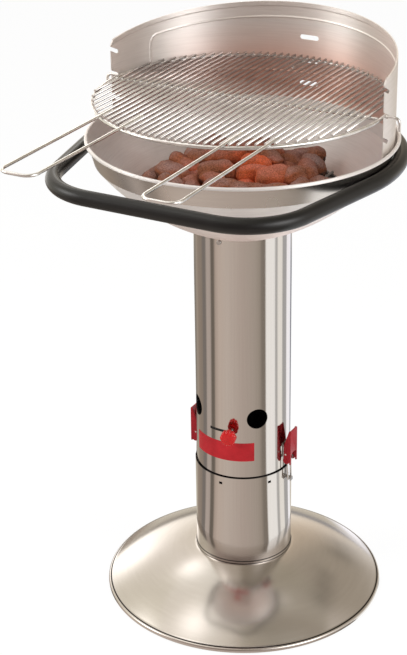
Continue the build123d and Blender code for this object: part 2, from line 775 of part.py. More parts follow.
paired = {
    "pot_catch": pot_catch(),
    "latch_bracket": latch_bracket(),
    "latch_lever": latch_lever(),
    "latch_bail": latch_bail(),
}
for stem, right in paired.items():
    for side, solid in both_sides(right).items():
        pieces[stem + "_" + side] = solid
for name, solids in pieces.items():
    write(name, solids)
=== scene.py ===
import json
import math
import random

import bmesh
import bpy
from bpy.props import FloatProperty, FloatVectorProperty, IntProperty, PointerProperty
from bpy.types import Operator, Panel, PropertyGroup
from mathutils import Matrix, Vector


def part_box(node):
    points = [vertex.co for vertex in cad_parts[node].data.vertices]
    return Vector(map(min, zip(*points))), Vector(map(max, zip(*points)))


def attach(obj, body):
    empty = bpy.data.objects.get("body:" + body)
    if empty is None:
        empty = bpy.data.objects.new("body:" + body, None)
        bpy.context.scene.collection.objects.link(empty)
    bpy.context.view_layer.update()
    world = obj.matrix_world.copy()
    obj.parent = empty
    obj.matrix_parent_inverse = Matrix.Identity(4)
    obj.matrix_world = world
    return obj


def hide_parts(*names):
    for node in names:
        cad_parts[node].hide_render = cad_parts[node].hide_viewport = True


bl_info = {
    "name": "Pedestal Charcoal Grill",
    "version": (1, 0, 0),
    "blender": (4, 5, 0),
    "location": "View3D > Sidebar > Grill",
    "description": "Dresses the frame of a pedestal charcoal grill and sets it in a pale studio",
    "category": "Object",
}

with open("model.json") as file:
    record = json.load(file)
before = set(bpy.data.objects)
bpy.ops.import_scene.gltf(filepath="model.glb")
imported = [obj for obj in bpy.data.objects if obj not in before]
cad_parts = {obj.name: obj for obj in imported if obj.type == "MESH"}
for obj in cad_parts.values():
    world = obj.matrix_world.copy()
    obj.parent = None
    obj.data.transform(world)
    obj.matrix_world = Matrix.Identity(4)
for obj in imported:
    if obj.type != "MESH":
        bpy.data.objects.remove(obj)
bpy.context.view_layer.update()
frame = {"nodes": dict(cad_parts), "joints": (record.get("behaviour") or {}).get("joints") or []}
JOINT_PLACE = {joint["name"]: Vector(joint["pos_m"]) for joint in frame["joints"] if "pos_m" in joint}

# Boxes of the frame's nodes
FOOT_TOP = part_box("base_foot")[1]
POT_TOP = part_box("ash_pot")[1]
COLUMN_LOW, COLUMN_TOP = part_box("column_tube")
BOWL_LOW, BOWL_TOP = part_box("bowl")
SCREEN_LOW, SCREEN_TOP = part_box("windscreen")
GRID_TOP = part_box("grid_rim")[1]
CROSS_LOW, CROSS_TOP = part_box("grid_cross_wire")
HOOK_LOW, HOOK_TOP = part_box("grid_side_hooks")
TAB_LOW, TAB_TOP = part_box("grid_rear_tab")
GRATE_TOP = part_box("coal_grate_rim")[1]
COAL_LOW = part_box("charcoal_lumps")[0]
BAIL_LOW, BAIL_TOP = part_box("latch_bail_right")

# Fineness of the meshes
SMOOTH_ANGLE = math.radians(32)
MERGE_GAP = 1e-6
TURNED_SIDES = 192
BOWL_SIDES = 256
VENT_SIDES = 64
BAR_SIDES = 40
WIRE_SIDES = 16
THIN_SIDES = 14

# Rounded edge of a sheet, as a share of its thickness
EDGE_SHARE = 0.3
# Cosine above which a cut face still belongs to the wall
CUT_WALL = 0.7
GOLDEN_TURN = math.pi * (3 - math.sqrt(5))
PLATE_GAP = 0.00005
SLOT_PLAY = 0.0003
# The knob's body: share of its length, and of its radius there
KNOB_PROFILE = ((0.0, 0.86), (0.05, 0.95), (0.14, 1.0), (0.6, 1.0), (0.74, 0.985), (0.86, 0.92),
                (0.93, 0.80), (0.95, 0.66), (0.955, 0.45), (0.985, 0.30), (1.0, 0.0))

# Relief of the grain, reach of the warm tint near the fire (part temper tint, part painted glow of the
# coals), and widths of the painted shade lines in the creases
GRAIN_DEPTH = 0.0003
FINE_SHARE = 0.65
HEAT_GLOW_REACH = 0.085
SCREEN_HEAT_GLOW = (0.03, 0.13)
REAR_HEAT_GLOW = (0.45, 0.95)
SKIN_BLEND = 0.0002
RIM_CREASE = 0.0016
SEAM_CREASE = 0.0008
EDGE_CREASE = 0.0014


def length(name, description, default):
    """A size in metres that a user may change."""
    return FloatProperty(name=name, description=description, default=default, unit="LENGTH", precision=5)


def angle(name, description, degrees):
    """An angle that a user may change, written in degrees."""
    return FloatProperty(name=name, description=description, default=math.radians(degrees),
                         subtype="ANGLE", unit="ROTATION")


def tint(name, description, default):
    """A colour that a user may change, in linear light."""
    return FloatVectorProperty(name=name, description=description, default=default, subtype="COLOR",
                               size=3, min=0.0, max=1.0)


class StandSizes(PropertyGroup):
    """Foot, ash pot and chimney column."""
    sheet: length("Sheet", "Thickness of the stainless sheet", 0.001)
    foot_r: length("Foot radius", "Outer edge of the foot's rolled rim", FOOT_TOP.x)
    foot_neck_r: length("Foot neck", "Flat top of the foot, from the axis", 0.085)
    foot_bead_r: length("Foot bead", "Radius of the rolled rim", 0.0045)
    foot_flange: length("Foot flange", "Rim turned in under the foot", 0.020)
    foot_rise: length("Foot rise", "Dome of the foot above a straight line", 0.008)
    pot_r: length("Pot radius", "Outer face of the ash pot", 0.0825)
    seam_height: length("Seam height", "Folded seam round the pot's floor", 0.005)
    seam_proud: length("Seam proud", "Seam past the pot's wall", 0.0014)
    tab_width: length("Tab width", "Lanced tabs that carry the column", 0.006)
    tab_height: length("Tab height", "Opening that each tab leaves", 0.0045)
    tab_count: IntProperty(name="Tabs", description="Tabs round the pot", default=6)
    catch_drop: length("Catch drop", "Catch slot below the pot's edge", 0.0205)
    catch_width: length("Catch width", "Width of the catch slot", 0.0228)
    catch_height: length("Catch height", "Height of the catch slot", 0.0023)
    column_r: length("Column radius", "Outer face of the column", COLUMN_TOP.x)
    vent_r: length("Vent radius", "Air holes in the column", 0.018)
    vent_up: length("Vent height", "Middle of the vents above the column's lower edge", 0.1205)
    vent_turn: angle("Vent turn", "Vents from the front", 45)
    slot_up: length("Slot height", "Regulator slot above the column's lower edge", 0.0965)
    slot_half: angle("Slot reach", "Half the slot's angle", 15.5)
    slot_r: length("Slot radius", "Half the slot's height", 0.0023)
    plate_low: length("Plate bottom", "Lower edge of the red plate", 0.2755)
    plate_high: length("Plate top", "Upper edge of the red plate", 0.3095)
    plate_half: angle("Plate reach", "Half the plate's angle", 41)
    plate_thick: length("Plate thickness", "Red plate on the column", 0.0004)
    knob_turn: angle("Knob turn", "Knob from the front, with the vents open", 13.5)
    knob_r: length("Knob radius", "Over the lobes", 0.0135)
    knob_waist: length("Knob waist", "Between the lobes", 0.0117)
    knob_lobes: IntProperty(name="Lobes", description="Lobes round the knob", default=8)
    knob_stand: length("Knob stand", "Knob in front of the column", 0.009)
    knob_neck: length("Knob neck", "Length of the knob's neck", 0.00475)
    knob_neck_r: length("Knob neck radius", "Radius of the knob's neck", 0.00675)
    knob_length: length("Knob length", "Knob along its axis", 0.019)


class BowlSizes(PropertyGroup):
    """Bowl, handle bar and windscreen."""
    curl_r: length("Rim curl", "Inside of the rolled rim", 0.00175)
    wall_top_r: length("Wall top", "Outer face of the wall at the rim", 0.2455)
    crease_r: length("Crease radius", "Bend between wall and dish", 0.2363)
    crease_drop: length("Crease drop", "Bend below the rim", 0.037)
    crease_bend: length("Crease bend", "Radius of the bend", 0.004)
    dish_r: length("Dish radius", "Flat of the dish over the column", 0.086)
    dish_sag: length("Dish sag", "Bulge of the dish below a straight line", 0.012)
    collar_r: length("Collar radius", "Collar inside the column", 0.07885)
    bar_r: length("Bar radius", "Handle bar", 0.0125)
    bar_path_r: length("Bar path", "Middle of the bar where it follows the bowl", 0.25143)
    bar_front: length("Bar front", "Middle of the bar in front of the axis", 0.2935)
    bar_corner: length("Bar corner", "Bend of the bar's front corners", 0.108)
    bar_arm: angle("Bar arm", "Where the straight arms leave the bowl", 78)
    bar_end: angle("Bar end", "Where the bar ends", 140)
    screen_r: length("Screen radius", "Outer face of the windscreen", SCREEN_TOP.x)
    screen_end_z: length("Screen ends", "Top of the windscreen at its ends", 0.9445)
    hem: length("Hem", "Height of the folded top edge", 0.009)
    hem_proud: length("Hem proud", "Folded edge inside the sheet", 0.0012)
    rib_reach: angle("Rib reach", "Rib's upright sides from the rear", 67.5)
    rib_width: length("Rib width", "Pressed rib", 0.0045)
    rib_proud: length("Rib proud", "Height of the pressed rib", 0.0016)
    rib_drop: length("Rib drop", "Rib below the top edge", 0.024)
    rib_low: length("Rib bottom", "Lower edge of the rib", 0.855)
    rib_corner: length("Rib corner", "Corner radius of the rib", 0.016)
    level: length("Grid levels", "Between the three heights of the grid", 0.0395)
    slot_width: length("Rear slot width", "Slots for the grid's rear tab", 0.034)
    slot_height: length("Rear slot height", "Slots for the grid's rear tab", 0.008)
    notch_width: length("Notch width", "Slanted notches for the grid's hooks", 0.0064)
    notch_slope: angle("Notch slope", "Notches above the level", 26)
    corner: length("Screen corner", "Cut corners at the two ends", 0.007)


class GridSizes(PropertyGroup):
    """Cooking grid, coal grate, charcoal and latches."""
    rim_d: length("Rim wire", "Diameter of the grid's rim", 0.006)
    bar_d: length("Bars", "Diameter of the grid's bars", 0.004)
    bar_pitch: length("Bar pitch", "Between the grid's bars", 0.0115)
    bar_count: IntProperty(name="Bar count", description="Bars of the grid", default=39)
    cross_d: length("Cross wire", "Wire under the bars", 0.005)
    hook_d: length("Hook wire", "Side hooks", 0.005)
    hook_y: length("Hook place", "Hooks behind the axis", 0.018)
    hook_bend: length("Hook bend", "Bend of the side hooks", 0.008)
    tab_d: length("Tab wire", "Rear tab", 0.004)
    tab_bend: length("Tab bend", "Bend of the rear tab", 0.006)
    handle_d: length("Handle wire", "Wire of the grid's handles", 0.005)
    handle_bend: length("Handle bend", "Bend of the handles", 0.017)
    grate_d: length("Grate rim", "Wire of the coal grate's rim", 0.006)
    grate_bar_d: length("Grate bars", "Wire of the coal grate's bars", 0.005)
    grate_pitch: length("Grate pitch", "Between the grate's bars", 0.024)
    grate_count: IntProperty(name="Grate bar count", description="Bars of the coal grate", default=13)
    bail_d: length("Bail wire", "Wire of the latch bails", 0.003)
    bail_half: length("Bail half", "Middle of a bail's leg from its centre line", 0.006)
    bail_end: length("Bail end", "Ends of the bail from its centre line", 0.0127)
    coal_count: IntProperty(name="Lumps", description="Lumps of charcoal", default=46)
    coal_seed: IntProperty(name="Coal seed", description="Seed of the pile", default=11)
    coal_length: length("Lump length", "Half the length of a common lump", 0.036)
    coal_r: length("Lump radius", "Radius of a common lump", 0.0165)
    coal_reach: length("Pile reach", "Pile from the axis", 0.134)
    coal_knobs: length("Lump knobs", "Depth of the lumps' broad unevenness", 0.015)
    coal_grit: length("Lump grit", "Depth of the lumps' fine unevenness", 0.003)
    lever_edge: length("Lever edge", "Rounding of the latch levers", 0.0006)


class Finishes(PropertyGroup):
    """Colours of the finishes."""
    steel: tint("Polished steel", "Foot, pot and column", (0.64, 0.605, 0.575))
    steel_dark: tint("Steel streaks", "Drawing lines in the polished steel", (0.58, 0.545, 0.515))
    brushed: tint("Brushed steel", "Bowl and windscreen", (0.90, 0.86, 0.835))
    brushed_dark: tint("Brushed lines", "Grain of the brushed steel", (0.79, 0.745, 0.72))
    # Warm tint near the fire: part temper tint, part painted glow of the coals on the windscreen and bowl
    heat_and_glow: tint("Heat tint", "Straw and copper tint near the fire", (0.92, 0.54, 0.43))
    chrome: tint("Chrome", "Wires of the grid", (0.90, 0.89, 0.88))
    black: tint("Satin black", "Handle bar", (0.003, 0.003, 0.003))
    red: tint("Red moulding", "Knob", (0.70, 0.010, 0.012))
    crimson: tint("Crimson moulding", "Latch levers", (0.42, 0.012, 0.022))
    plate: tint("Red plate", "Plate on the column", (0.56, 0.022, 0.030))
    fastener: tint("Fasteners", "Screws, rivets and small stampings", (0.55, 0.54, 0.53))
    # Near black: inside of the column and the damper ring, dark speckle on the charcoal, and painted shade in
    # the creases of the foot and pot and under the charcoal lumps
    near_black_and_shade: tint("Near Black", "Inside of the column", (0.010, 0.009, 0.009))
    coal: tint("Charcoal", "Cool sides of the lumps", (0.37, 0.12, 0.050))
    ember: tint("Ember", "Glow of the lumps", (0.66, 0.11, 0.03))
    # Ashy grey on the lumps' tops: part real ashy coat, part painted light falling from above
    ash_and_top_light: tint("Ash", "Bloom of ash", (0.43, 0.28, 0.25))


class StudioSettings(PropertyGroup):
    """Camera, floor and lights."""
    camera_turn: angle("Camera turn", "Camera round from the front", 28)
    camera_distance: length("Camera distance", "Camera from the axis", 2.64215)
    camera_height: length("Camera height", "Camera above the floor", 1.73477)
    camera_pitch: angle("Camera pitch", "Camera looks down", 25.292)
    camera_yaw: angle("Camera yaw", "Camera looks past the axis", -1.425)
    camera_roll: angle("Camera roll", "Camera leans", -0.830)
    focal: FloatProperty(name="Focal length", description="Lens on a 36 mm frame", default=96.55,
                         subtype="DISTANCE_CAMERA")
    floor_r: length("Floor radius", "Pale floor", 6.0)
    tent_r: length("Tent radius", "Reflecting cards round the grill", 2.4)
    tent_height: length("Tent height", "Top of the reflecting cards", 3.0)
    fill: FloatProperty(name="Fill", description="Soft light from all round", default=0.55)
    key: FloatProperty(name="Key", description="Power of the large soft lamp", default=55.0, unit="POWER")
    rim: FloatProperty(name="Rim", description="Power of the side lamp", default=28.0, unit="POWER")


def settings(context):
    return context.scene.grill


class GrillSettings(PropertyGroup):
    """All the settings of the grill."""
    stand: PointerProperty(type=StandSizes)
    bowl: PointerProperty(type=BowlSizes)
    grid: PointerProperty(type=GridSizes)
    finish: PointerProperty(type=Finishes)
    studio: PointerProperty(type=StudioSettings)


# Shapes

def polar(radius, turn, z):
    """Point round the axis; the turn is counted from the front towards +X."""
    return Vector((radius * math.sin(turn), -radius * math.cos(turn), z))


def mid_z(node):
    """Height of the middle of a node's box."""
    low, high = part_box(node)
    return (low.z + high.z) / 2


def ramp(value, start, end):
    """Nought at the start, one at the end, and straight between them."""
    return min(1.0, max(0.0, (value - start) / (end - start)))


def blend(first, second, share):
    """Numbers between two rows of numbers."""
    return [a + (b - a) * share for a, b in zip(first, second)]


def arc(centre, radius, start, end, steps):
    """Points of an arc in a plane, the angles in radians."""
    turns = [start + (end - start) * index / steps for index in range(steps + 1)]
    return [(centre[0] + radius * math.cos(t), centre[1] + radius * math.sin(t)) for t in turns]


def bulged(start, end, sag, steps):
    """Points of an arc from start to end that stands off the chord to its left by the sag."""
    chord = Vector(end) - Vector(start)
    radius = (chord.length_squared / 4 + sag * sag) / (2 * abs(sag))
    normal = Vector((-chord.y, chord.x)).normalized()
    middle = (Vector(start) + Vector(end)) / 2
    centre = middle - normal * math.copysign(radius - abs(sag), sag)
    first = math.atan2(start[1] - centre.y, start[0] - centre.x)
    sweep = 2 * math.asin(chord.length / 2 / radius)
    return arc(centre, radius, first, first - math.copysign(sweep, sag), steps)


def rounded(points, radius, steps):
    """A bent line whose inner corners are arcs of one radius; points have any dimension."""
    points = [Vector(point) for point in points]
    line = [points[0]]
    for before, corner, after in zip(points, points[1:], points[2:]):
        to_start = (before - corner).normalized()
        to_end = (after - corner).normalized()
        half = to_start.angle(to_end) / 2
        centre = corner + (to_start + to_end).normalized() * (radius / math.sin(half))
        start = corner + to_start * (radius / math.tan(half)) - centre
        end = corner + to_end * (radius / math.tan(half)) - centre
        turn = start.angle(end)
        for index in range(steps + 1):
            share = index / steps
            blend = start * math.sin((1 - share) * turn) + end * math.sin(share * turn)
            line.append(centre + blend / math.sin(turn))
    line.append(points[-1])
    return line


def walled(path, thickness):
    """A closed section: the path, and back along a line offset to its right."""
    path = [Vector(point) for point in path]
    back = []
    for index, point in enumerate(path):
        before = path[max(index - 1, 0)]
        after = path[min(index + 1, len(path) - 1)]
        into = (point - before).normalized() if index else (after - point).normalized()
        out = (after - point).normalized() if index < len(path) - 1 else into
        mean = (into + out).normalized()
        normal = Vector((mean.y, -mean.x))
        back.append(point + normal * (thickness / max(0.4, mean.dot(into))))
    return path + back[::-1]


def mesh_piece(name, build, material):
    """A new object at the origin from what a function puts in a bmesh."""
    shape = bmesh.new()
    build(shape)
    bmesh.ops.remove_doubles(shape, verts=shape.verts, dist=MERGE_GAP)
    bmesh.ops.recalc_face_normals(shape, faces=shape.faces)
    mesh = bpy.data.meshes.new(name)
    shape.to_mesh(mesh)
    shape.free()
    mesh.materials.append(material)
    smooth(mesh)
    piece = bpy.data.objects.new(name, mesh)
    bpy.context.scene.collection.objects.link(piece)
    return piece


def smooth(mesh):
    """Smooth shading with sharp edges kept."""
    mesh.polygons.foreach_set("use_smooth", [True] * len(mesh.polygons))
    mesh.set_sharp_from_angle(angle=SMOOTH_ANGLE)


def lathe(shape, section, steps):
    """Turns a closed section about Z."""
    rings = []
    for radius, z in section:
        if radius < MERGE_GAP:
            rings.append([shape.verts.new((0, 0, z))])
        else:
            turns = [2 * math.pi * index / steps for index in range(steps)]
            rings.append([shape.verts.new(polar(radius, turn, z)) for turn in turns])
    for low, high in zip(rings, rings[1:] + rings[:1]):
        for index in range(steps):
            after = (index + 1) % steps
            corners = [low[index % len(low)], low[after % len(low)],
                       high[after % len(high)], high[index % len(high)]]
            corners = list(dict.fromkeys(corners))
            if len(corners) > 2:
                shape.faces.new(corners)


def strip(shape, low, high):
    """Faces between two rows of points."""
    for corners in zip(low, low[1:], high[1:], high):
        shape.faces.new(corners)


def skin(shape, rings, capped=True):
    """Faces round and between rings of points, with a cap on the first and the last."""
    for low, high in zip(rings, rings[1:]):
        strip(shape, low + low[:1], high + high[:1])
    if capped:
        shape.faces.new(rings[0][::-1])
        shape.faces.new(rings[-1])


def pipe(shape, line, radius, sides, closed=False):
    """Round wire along a line, its frame carried on without twist."""
    line = [Vector(point) for point in line]
    count = len(line)
    rings = []
    normal = None
    for index, point in enumerate(line):
        before = line[index - 1] if index or closed else point
        after = line[(index + 1) % count] if index < count - 1 or closed else point
        tangent = (after - before).normalized()
        if normal is None:
            normal = tangent.orthogonal().normalized()
        normal = (normal - tangent * normal.dot(tangent)).normalized()
        side = tangent.cross(normal)
        turns = [2 * math.pi * k / sides for k in range(sides)]
        ring = [point + (normal * math.cos(t) + side * math.sin(t)) * radius for t in turns]
        rings.append([shape.verts.new(place) for place in ring])
    if closed:
        nearest = min(range(sides), key=lambda k: (rings[-1][0].co - rings[0][k].co).length)
        rings.append(rings[0][nearest:] + rings[0][:nearest])
    skin(shape, rings, capped=not closed)


def band(shape, half_turn, inner, outer, low, high, steps):
    """A flat bar bent round the axis, reaching as far to either side of the front."""
    corners = ((inner, low), (outer, low), (outer, high), (inner, high))
    turns = [half_turn * (2 * index / steps - 1) for index in range(steps + 1)]
    skin(shape, [[shape.verts.new(polar(radius, turn, z)) for radius, z in corners] for turn in turns])


def hoop(radius, z, steps):
    """Points of a level circle round the axis."""
    return [polar(radius, 2 * math.pi * index / steps, z) for index in range(steps)]


def spread(stops, steps):
    """Places between stops, in each stretch about one step apart."""
    places = [stops[0]]
    for low, high, step in zip(stops, stops[1:], steps):
        count = max(1, round(abs(high - low) / step))
        places += [low + (high - low) * index / count for index in range(1, count + 1)]
    return places


def capsule(flat, radius):
    """Outline of a slot with round ends, its middle at the origin."""
    return arc((flat, 0.0), radius, -math.pi / 2, math.pi / 2, 12) + \
        arc((-flat, 0.0), radius, math.pi / 2, 3 * math.pi / 2, 12)


def prism(shape, matrix, outline, depth):
    """An outline pulled along Z to both sides, placed by a matrix."""
    skin(shape, [[shape.verts.new(matrix @ Vector((x, y, z))) for x, y in outline]
                 for z in (-depth / 2, depth / 2)])


def block(shape, matrix, size):
    """A box of a size, placed by a matrix."""
    bmesh.ops.create_cube(shape, size=1.0, matrix=matrix @ Matrix.Diagonal((*size, 1)))


def drill(shape, matrix, radius, depth, sides):
    """A round cutter along the Z axis of a matrix."""
    bmesh.ops.create_cone(shape, cap_ends=True, segments=sides, radius1=radius, radius2=radius,
                          depth=depth, matrix=matrix)


def outward(turn, radius, z):
    """Matrix at a place round the axis, its Z pointing out and its Y up."""
    out = polar(1, turn, 0)
    up = Vector((0, 0, 1))
    side = up.cross(out)
    matrix = Matrix((side, up, out)).transposed().to_4x4()
    matrix.translation = polar(radius, turn, z)
    return matrix


def evaluated_mesh(piece):
    """The piece's mesh with its modifiers applied."""
    depsgraph = bpy.context.evaluated_depsgraph_get()
    return bpy.data.meshes.new_from_object(piece.evaluated_get(depsgraph))


def carve(piece, build_cutters, wall_normal):
    """Cuts a piece with what a function builds; its walls keep the normals of the uncut surface."""
    cutter = mesh_piece(piece.name + "_cutter", build_cutters, piece.data.materials[0])
    boolean = piece.modifiers.new("Cut", "BOOLEAN")
    boolean.solver = "EXACT"
    boolean.object = cutter
    bpy.context.view_layer.update()
    carved = evaluated_mesh(piece)
    normals = []
    for polygon in carved.polygons:
        for index in polygon.vertices:
            wall = wall_normal(carved.vertices[index].co, polygon.normal)
            normals.append(wall if wall.dot(polygon.normal) > CUT_WALL else polygon.normal.copy())
    carved.normals_split_custom_set(normals)
    piece.modifiers.clear()
    piece.data = carved
    bpy.data.objects.remove(cutter)


def round_wall(place, face_normal):
    """Normal of an upright round wall, on the side that a face looks to."""
    out = Vector((place.x, place.y, 0.0)).normalized()
    return out if out.dot(face_normal) > 0 else -out


def turned(context, name, section, sides, finish):
    """A piece turned about the axis from a closed section."""
    return mesh_piece(name, lambda shape: lathe(shape, section, sides), finish_of(context, finish))


def wired(context, name, line, diameter, sides, finish, closed=False):
    """A piece of round wire along a line."""
    return mesh_piece(name, lambda shape: pipe(shape, line, diameter / 2, sides, closed),
                      finish_of(context, finish))


def seat(piece, body, slot, *nodes):
    """The piece rides on a body and stands for its nodes; its slot is not used."""
    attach(piece, body)
    if nodes:
        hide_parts(*nodes)


def paint(material, *nodes):
    """A finish for nodes that stay as they are."""
    for name in nodes:
        part = frame["nodes"][name]
        if not part.material_slots:
            part.data.materials.append(material)
        for slot in part.material_slots:
            slot.material = material


# Node trees

def add(tree, kind, inputs=None, **options):
    """A node with its options and inputs set; an input may be another node's output."""
    made = tree.nodes.new(kind)
    for option, value in options.items():
        setattr(made, option, value)
    for key, value in (inputs or {}).items():
        if isinstance(value, bpy.types.NodeSocket):
            tree.links.new(value, made.inputs[key])
        else:
            made.inputs[key].default_value = value
    return made


def calc(tree, operation, first, second=0.0):
    return add(tree, "ShaderNodeMath", {0: first, 1: second}, operation=operation).outputs[0]


def vector_calc(tree, operation, first, second=(0.0, 0.0, 0.0), output="Vector"):
    return add(tree, "ShaderNodeVectorMath", {0: first, 1: second}, operation=operation).outputs[output]


def scaled(tree, vector, scale):
    return add(tree, "ShaderNodeVectorMath", {0: vector, "Scale": scale}, operation="SCALE").outputs[0]


def split(tree, vector):
    return add(tree, "ShaderNodeSeparateXYZ", {0: vector}).outputs


def joined(tree, x=0.0, y=0.0, z=0.0):
    return add(tree, "ShaderNodeCombineXYZ", {0: x, 1: y, 2: z}).outputs[0]


def from_axis(tree, place):
    """Distance of a place from the upright axis."""
    return vector_calc(tree, "LENGTH", vector_calc(tree, "MULTIPLY", place, (1.0, 1.0, 0.0)), output="Value")


def remap(tree, value, low, high, to_low, to_high):
    return add(tree, "ShaderNodeMapRange", {"Value": value, "From Min": low, "From Max": high,
                                            "To Min": to_low, "To Max": to_high}).outputs["Result"]


def portion(tree, value, low, high):
    """How far a value lies from low to high, from nought to one."""
    return remap(tree, value, low, high, 0.0, 1.0)


def between(tree, part, low, high):
    """The value that lies a part of the way from low to high."""
    return remap(tree, part, 0.0, 1.0, low, high)


def mixed(tree, factor, first, second):
    """Colour between two colours, each a socket or three numbers."""
    colours = {}
    for key, colour in ((6, first), (7, second)):
        colours[key] = colour if isinstance(colour, bpy.types.NodeSocket) else (*colour, 1.0)
    return add(tree, "ShaderNodeMix", {0: factor, **colours}, data_type="RGBA").outputs[2]


def noise(tree, vector, scale, detail=2.0):
    return add(tree, "ShaderNodeTexNoise", {"Vector": vector, "Scale": scale, "Detail": detail}).outputs[0]


def group(name, inputs, outputs):
    """A shader node group with named number or vector inputs and number outputs."""
    tree = bpy.data.node_groups.new(name, "ShaderNodeTree")
    for socket, default in inputs.items():
        kind = "NodeSocketVector" if default is None else "NodeSocketFloat"
        made = tree.interface.new_socket(socket, in_out="INPUT", socket_type=kind)
        if default is not None:
            made.default_value = default
    for socket in outputs:
        tree.interface.new_socket(socket, in_out="OUTPUT", socket_type="NodeSocketFloat")
    return tree, tree.nodes.new("NodeGroupInput").outputs, tree.nodes.new("NodeGroupOutput").inputs


def ring_grain():
    """Grain that runs round the axis, as on spun and rolled sheet."""
    if "Ring Grain" in bpy.data.node_groups:
        return bpy.data.node_groups["Ring Grain"]
    tree, given, put = group("Ring Grain", {"Vector": None, "Fine": 400.0, "Round": 3.0}, ["Grain"])
    place = split(tree, given["Vector"])
    flat = joined(tree, place[0], place[1])
    radius = vector_calc(tree, "LENGTH", flat, output="Value")
    way = split(tree, scaled(tree, vector_calc(tree, "NORMALIZE", flat), given["Round"]))
    across = joined(tree, way[0], way[1], calc(tree, "MULTIPLY", radius, given["Fine"]))
    up = calc(tree, "MULTIPLY", place[2], given["Fine"])
    lines = add(tree, "ShaderNodeTexNoise", {"Vector": across, "W": up, "Scale": 1.0, "Detail": 3.0},
                noise_dimensions="4D")
    tree.links.new(lines.outputs[0], put["Grain"])
    return tree


def line_grain():
    """Grain that runs up and down, as on drawn tube."""
    if "Line Grain" in bpy.data.node_groups:
        return bpy.data.node_groups["Line Grain"]
    tree, given, put = group("Line Grain", {"Vector": None, "Fine": 400.0, "Stretch": 80.0}, ["Grain"])
    along = calc(tree, "DIVIDE", given["Fine"], given["Stretch"])
    scale = joined(tree, given["Fine"], given["Fine"], along)
    place = vector_calc(tree, "MULTIPLY", given["Vector"], scale)
    tree.links.new(noise(tree, place, 1.0, 3.0), put["Grain"])
    return tree


def handling_marks():
    """Soft uneven patches, as from wiping and handling."""
    if "Handling Marks" in bpy.data.node_groups:
        return bpy.data.node_groups["Handling Marks"]
    tree, given, put = group("Handling Marks", {"Vector": None, "Scale": 12.0, "Contrast": 2.0}, ["Marks"])
    cloud = noise(tree, given["Vector"], given["Scale"], 4.0)
    spread = calc(tree, "MULTIPLY", calc(tree, "SUBTRACT", cloud, 0.5), given["Contrast"])
    marks = add(tree, "ShaderNodeClamp", {"Value": calc(tree, "ADD", spread, 0.5)}).outputs[0]
    tree.links.new(marks, put["Marks"])
    return tree


def placed(tree, made, **inputs):
    """A group placed in a material with its own values; returns its only output."""
    return add(tree, "ShaderNodeGroup", inputs, node_tree=made).outputs[0]


def new_finish(name, **constants):
    """A material with one Principled shader; returns it, its tree, the shader and Object coordinates."""
    material = bpy.data.materials.new(name)
    material.use_nodes = True
    tree = material.node_tree
    shader = tree.nodes["Principled BSDF"]
    for key, value in constants.items():
        shader.inputs[key.replace("_", " ")].default_value = value
    place = tree.nodes.new("ShaderNodeTexCoord").outputs["Object"]
    return material, tree, shader.inputs, place


def feed(tree, shader, **values):
    """Links values to the shader's inputs of the same names."""
    for key, value in values.items():
        tree.links.new(value, shader[key.replace("_", " ")])


def bumped(tree, height, strength, distance):
    return add(tree, "ShaderNodeBump", {"Height": height, "Strength": strength,
                                        "Distance": distance}).outputs[0]


def crease_shade_mask():
    """One along a crease, nought away from it; the crease lies at a radius or at a height. It marks where
    painted shade goes.
    """
    if "Crease Shade Mask" in bpy.data.node_groups:
        return bpy.data.node_groups["Crease Shade Mask"]
    tree, given, put = group("Crease Shade Mask", {"Place": 0.0, "At": 0.0, "Width": 0.001}, ["Mask"])
    away = calc(tree, "ABSOLUTE", calc(tree, "SUBTRACT", given["Place"], given["At"]))
    tree.links.new(remap(tree, calc(tree, "DIVIDE", away, given["Width"]), 0.4, 1.0, 1.0, 0.0), put["Mask"])
    return tree


def polished_steel(look, name, grain, fine, rough, relief, creases=()):
    """Bright stainless sheet with faint lines, a few wiping marks and painted shade along its creases."""
    material, tree, shader, place = new_finish(name, Metallic=1.0)
    lines = placed(tree, grain, Vector=place, Fine=fine)
    marks = placed(tree, handling_marks(), Vector=place, Scale=9.0, Contrast=1.6)
    colour = mixed(tree, lines, look.steel_dark, look.steel)
    where = {"radius": from_axis(tree, place), "height": split(tree, place)[2]}
    # Painted shade: each crease darkens towards the near-black colour
    for way, at, width in creases:
        mask = placed(tree, crease_shade_mask(), Place=where[way], At=at, Width=width)
        colour = mixed(tree, mask, colour, look.near_black_and_shade)
    feed(tree, shader, Base_Color=colour, Roughness=between(tree, marks, *rough),
         Normal=bumped(tree, lines, relief, GRAIN_DEPTH))
    return material


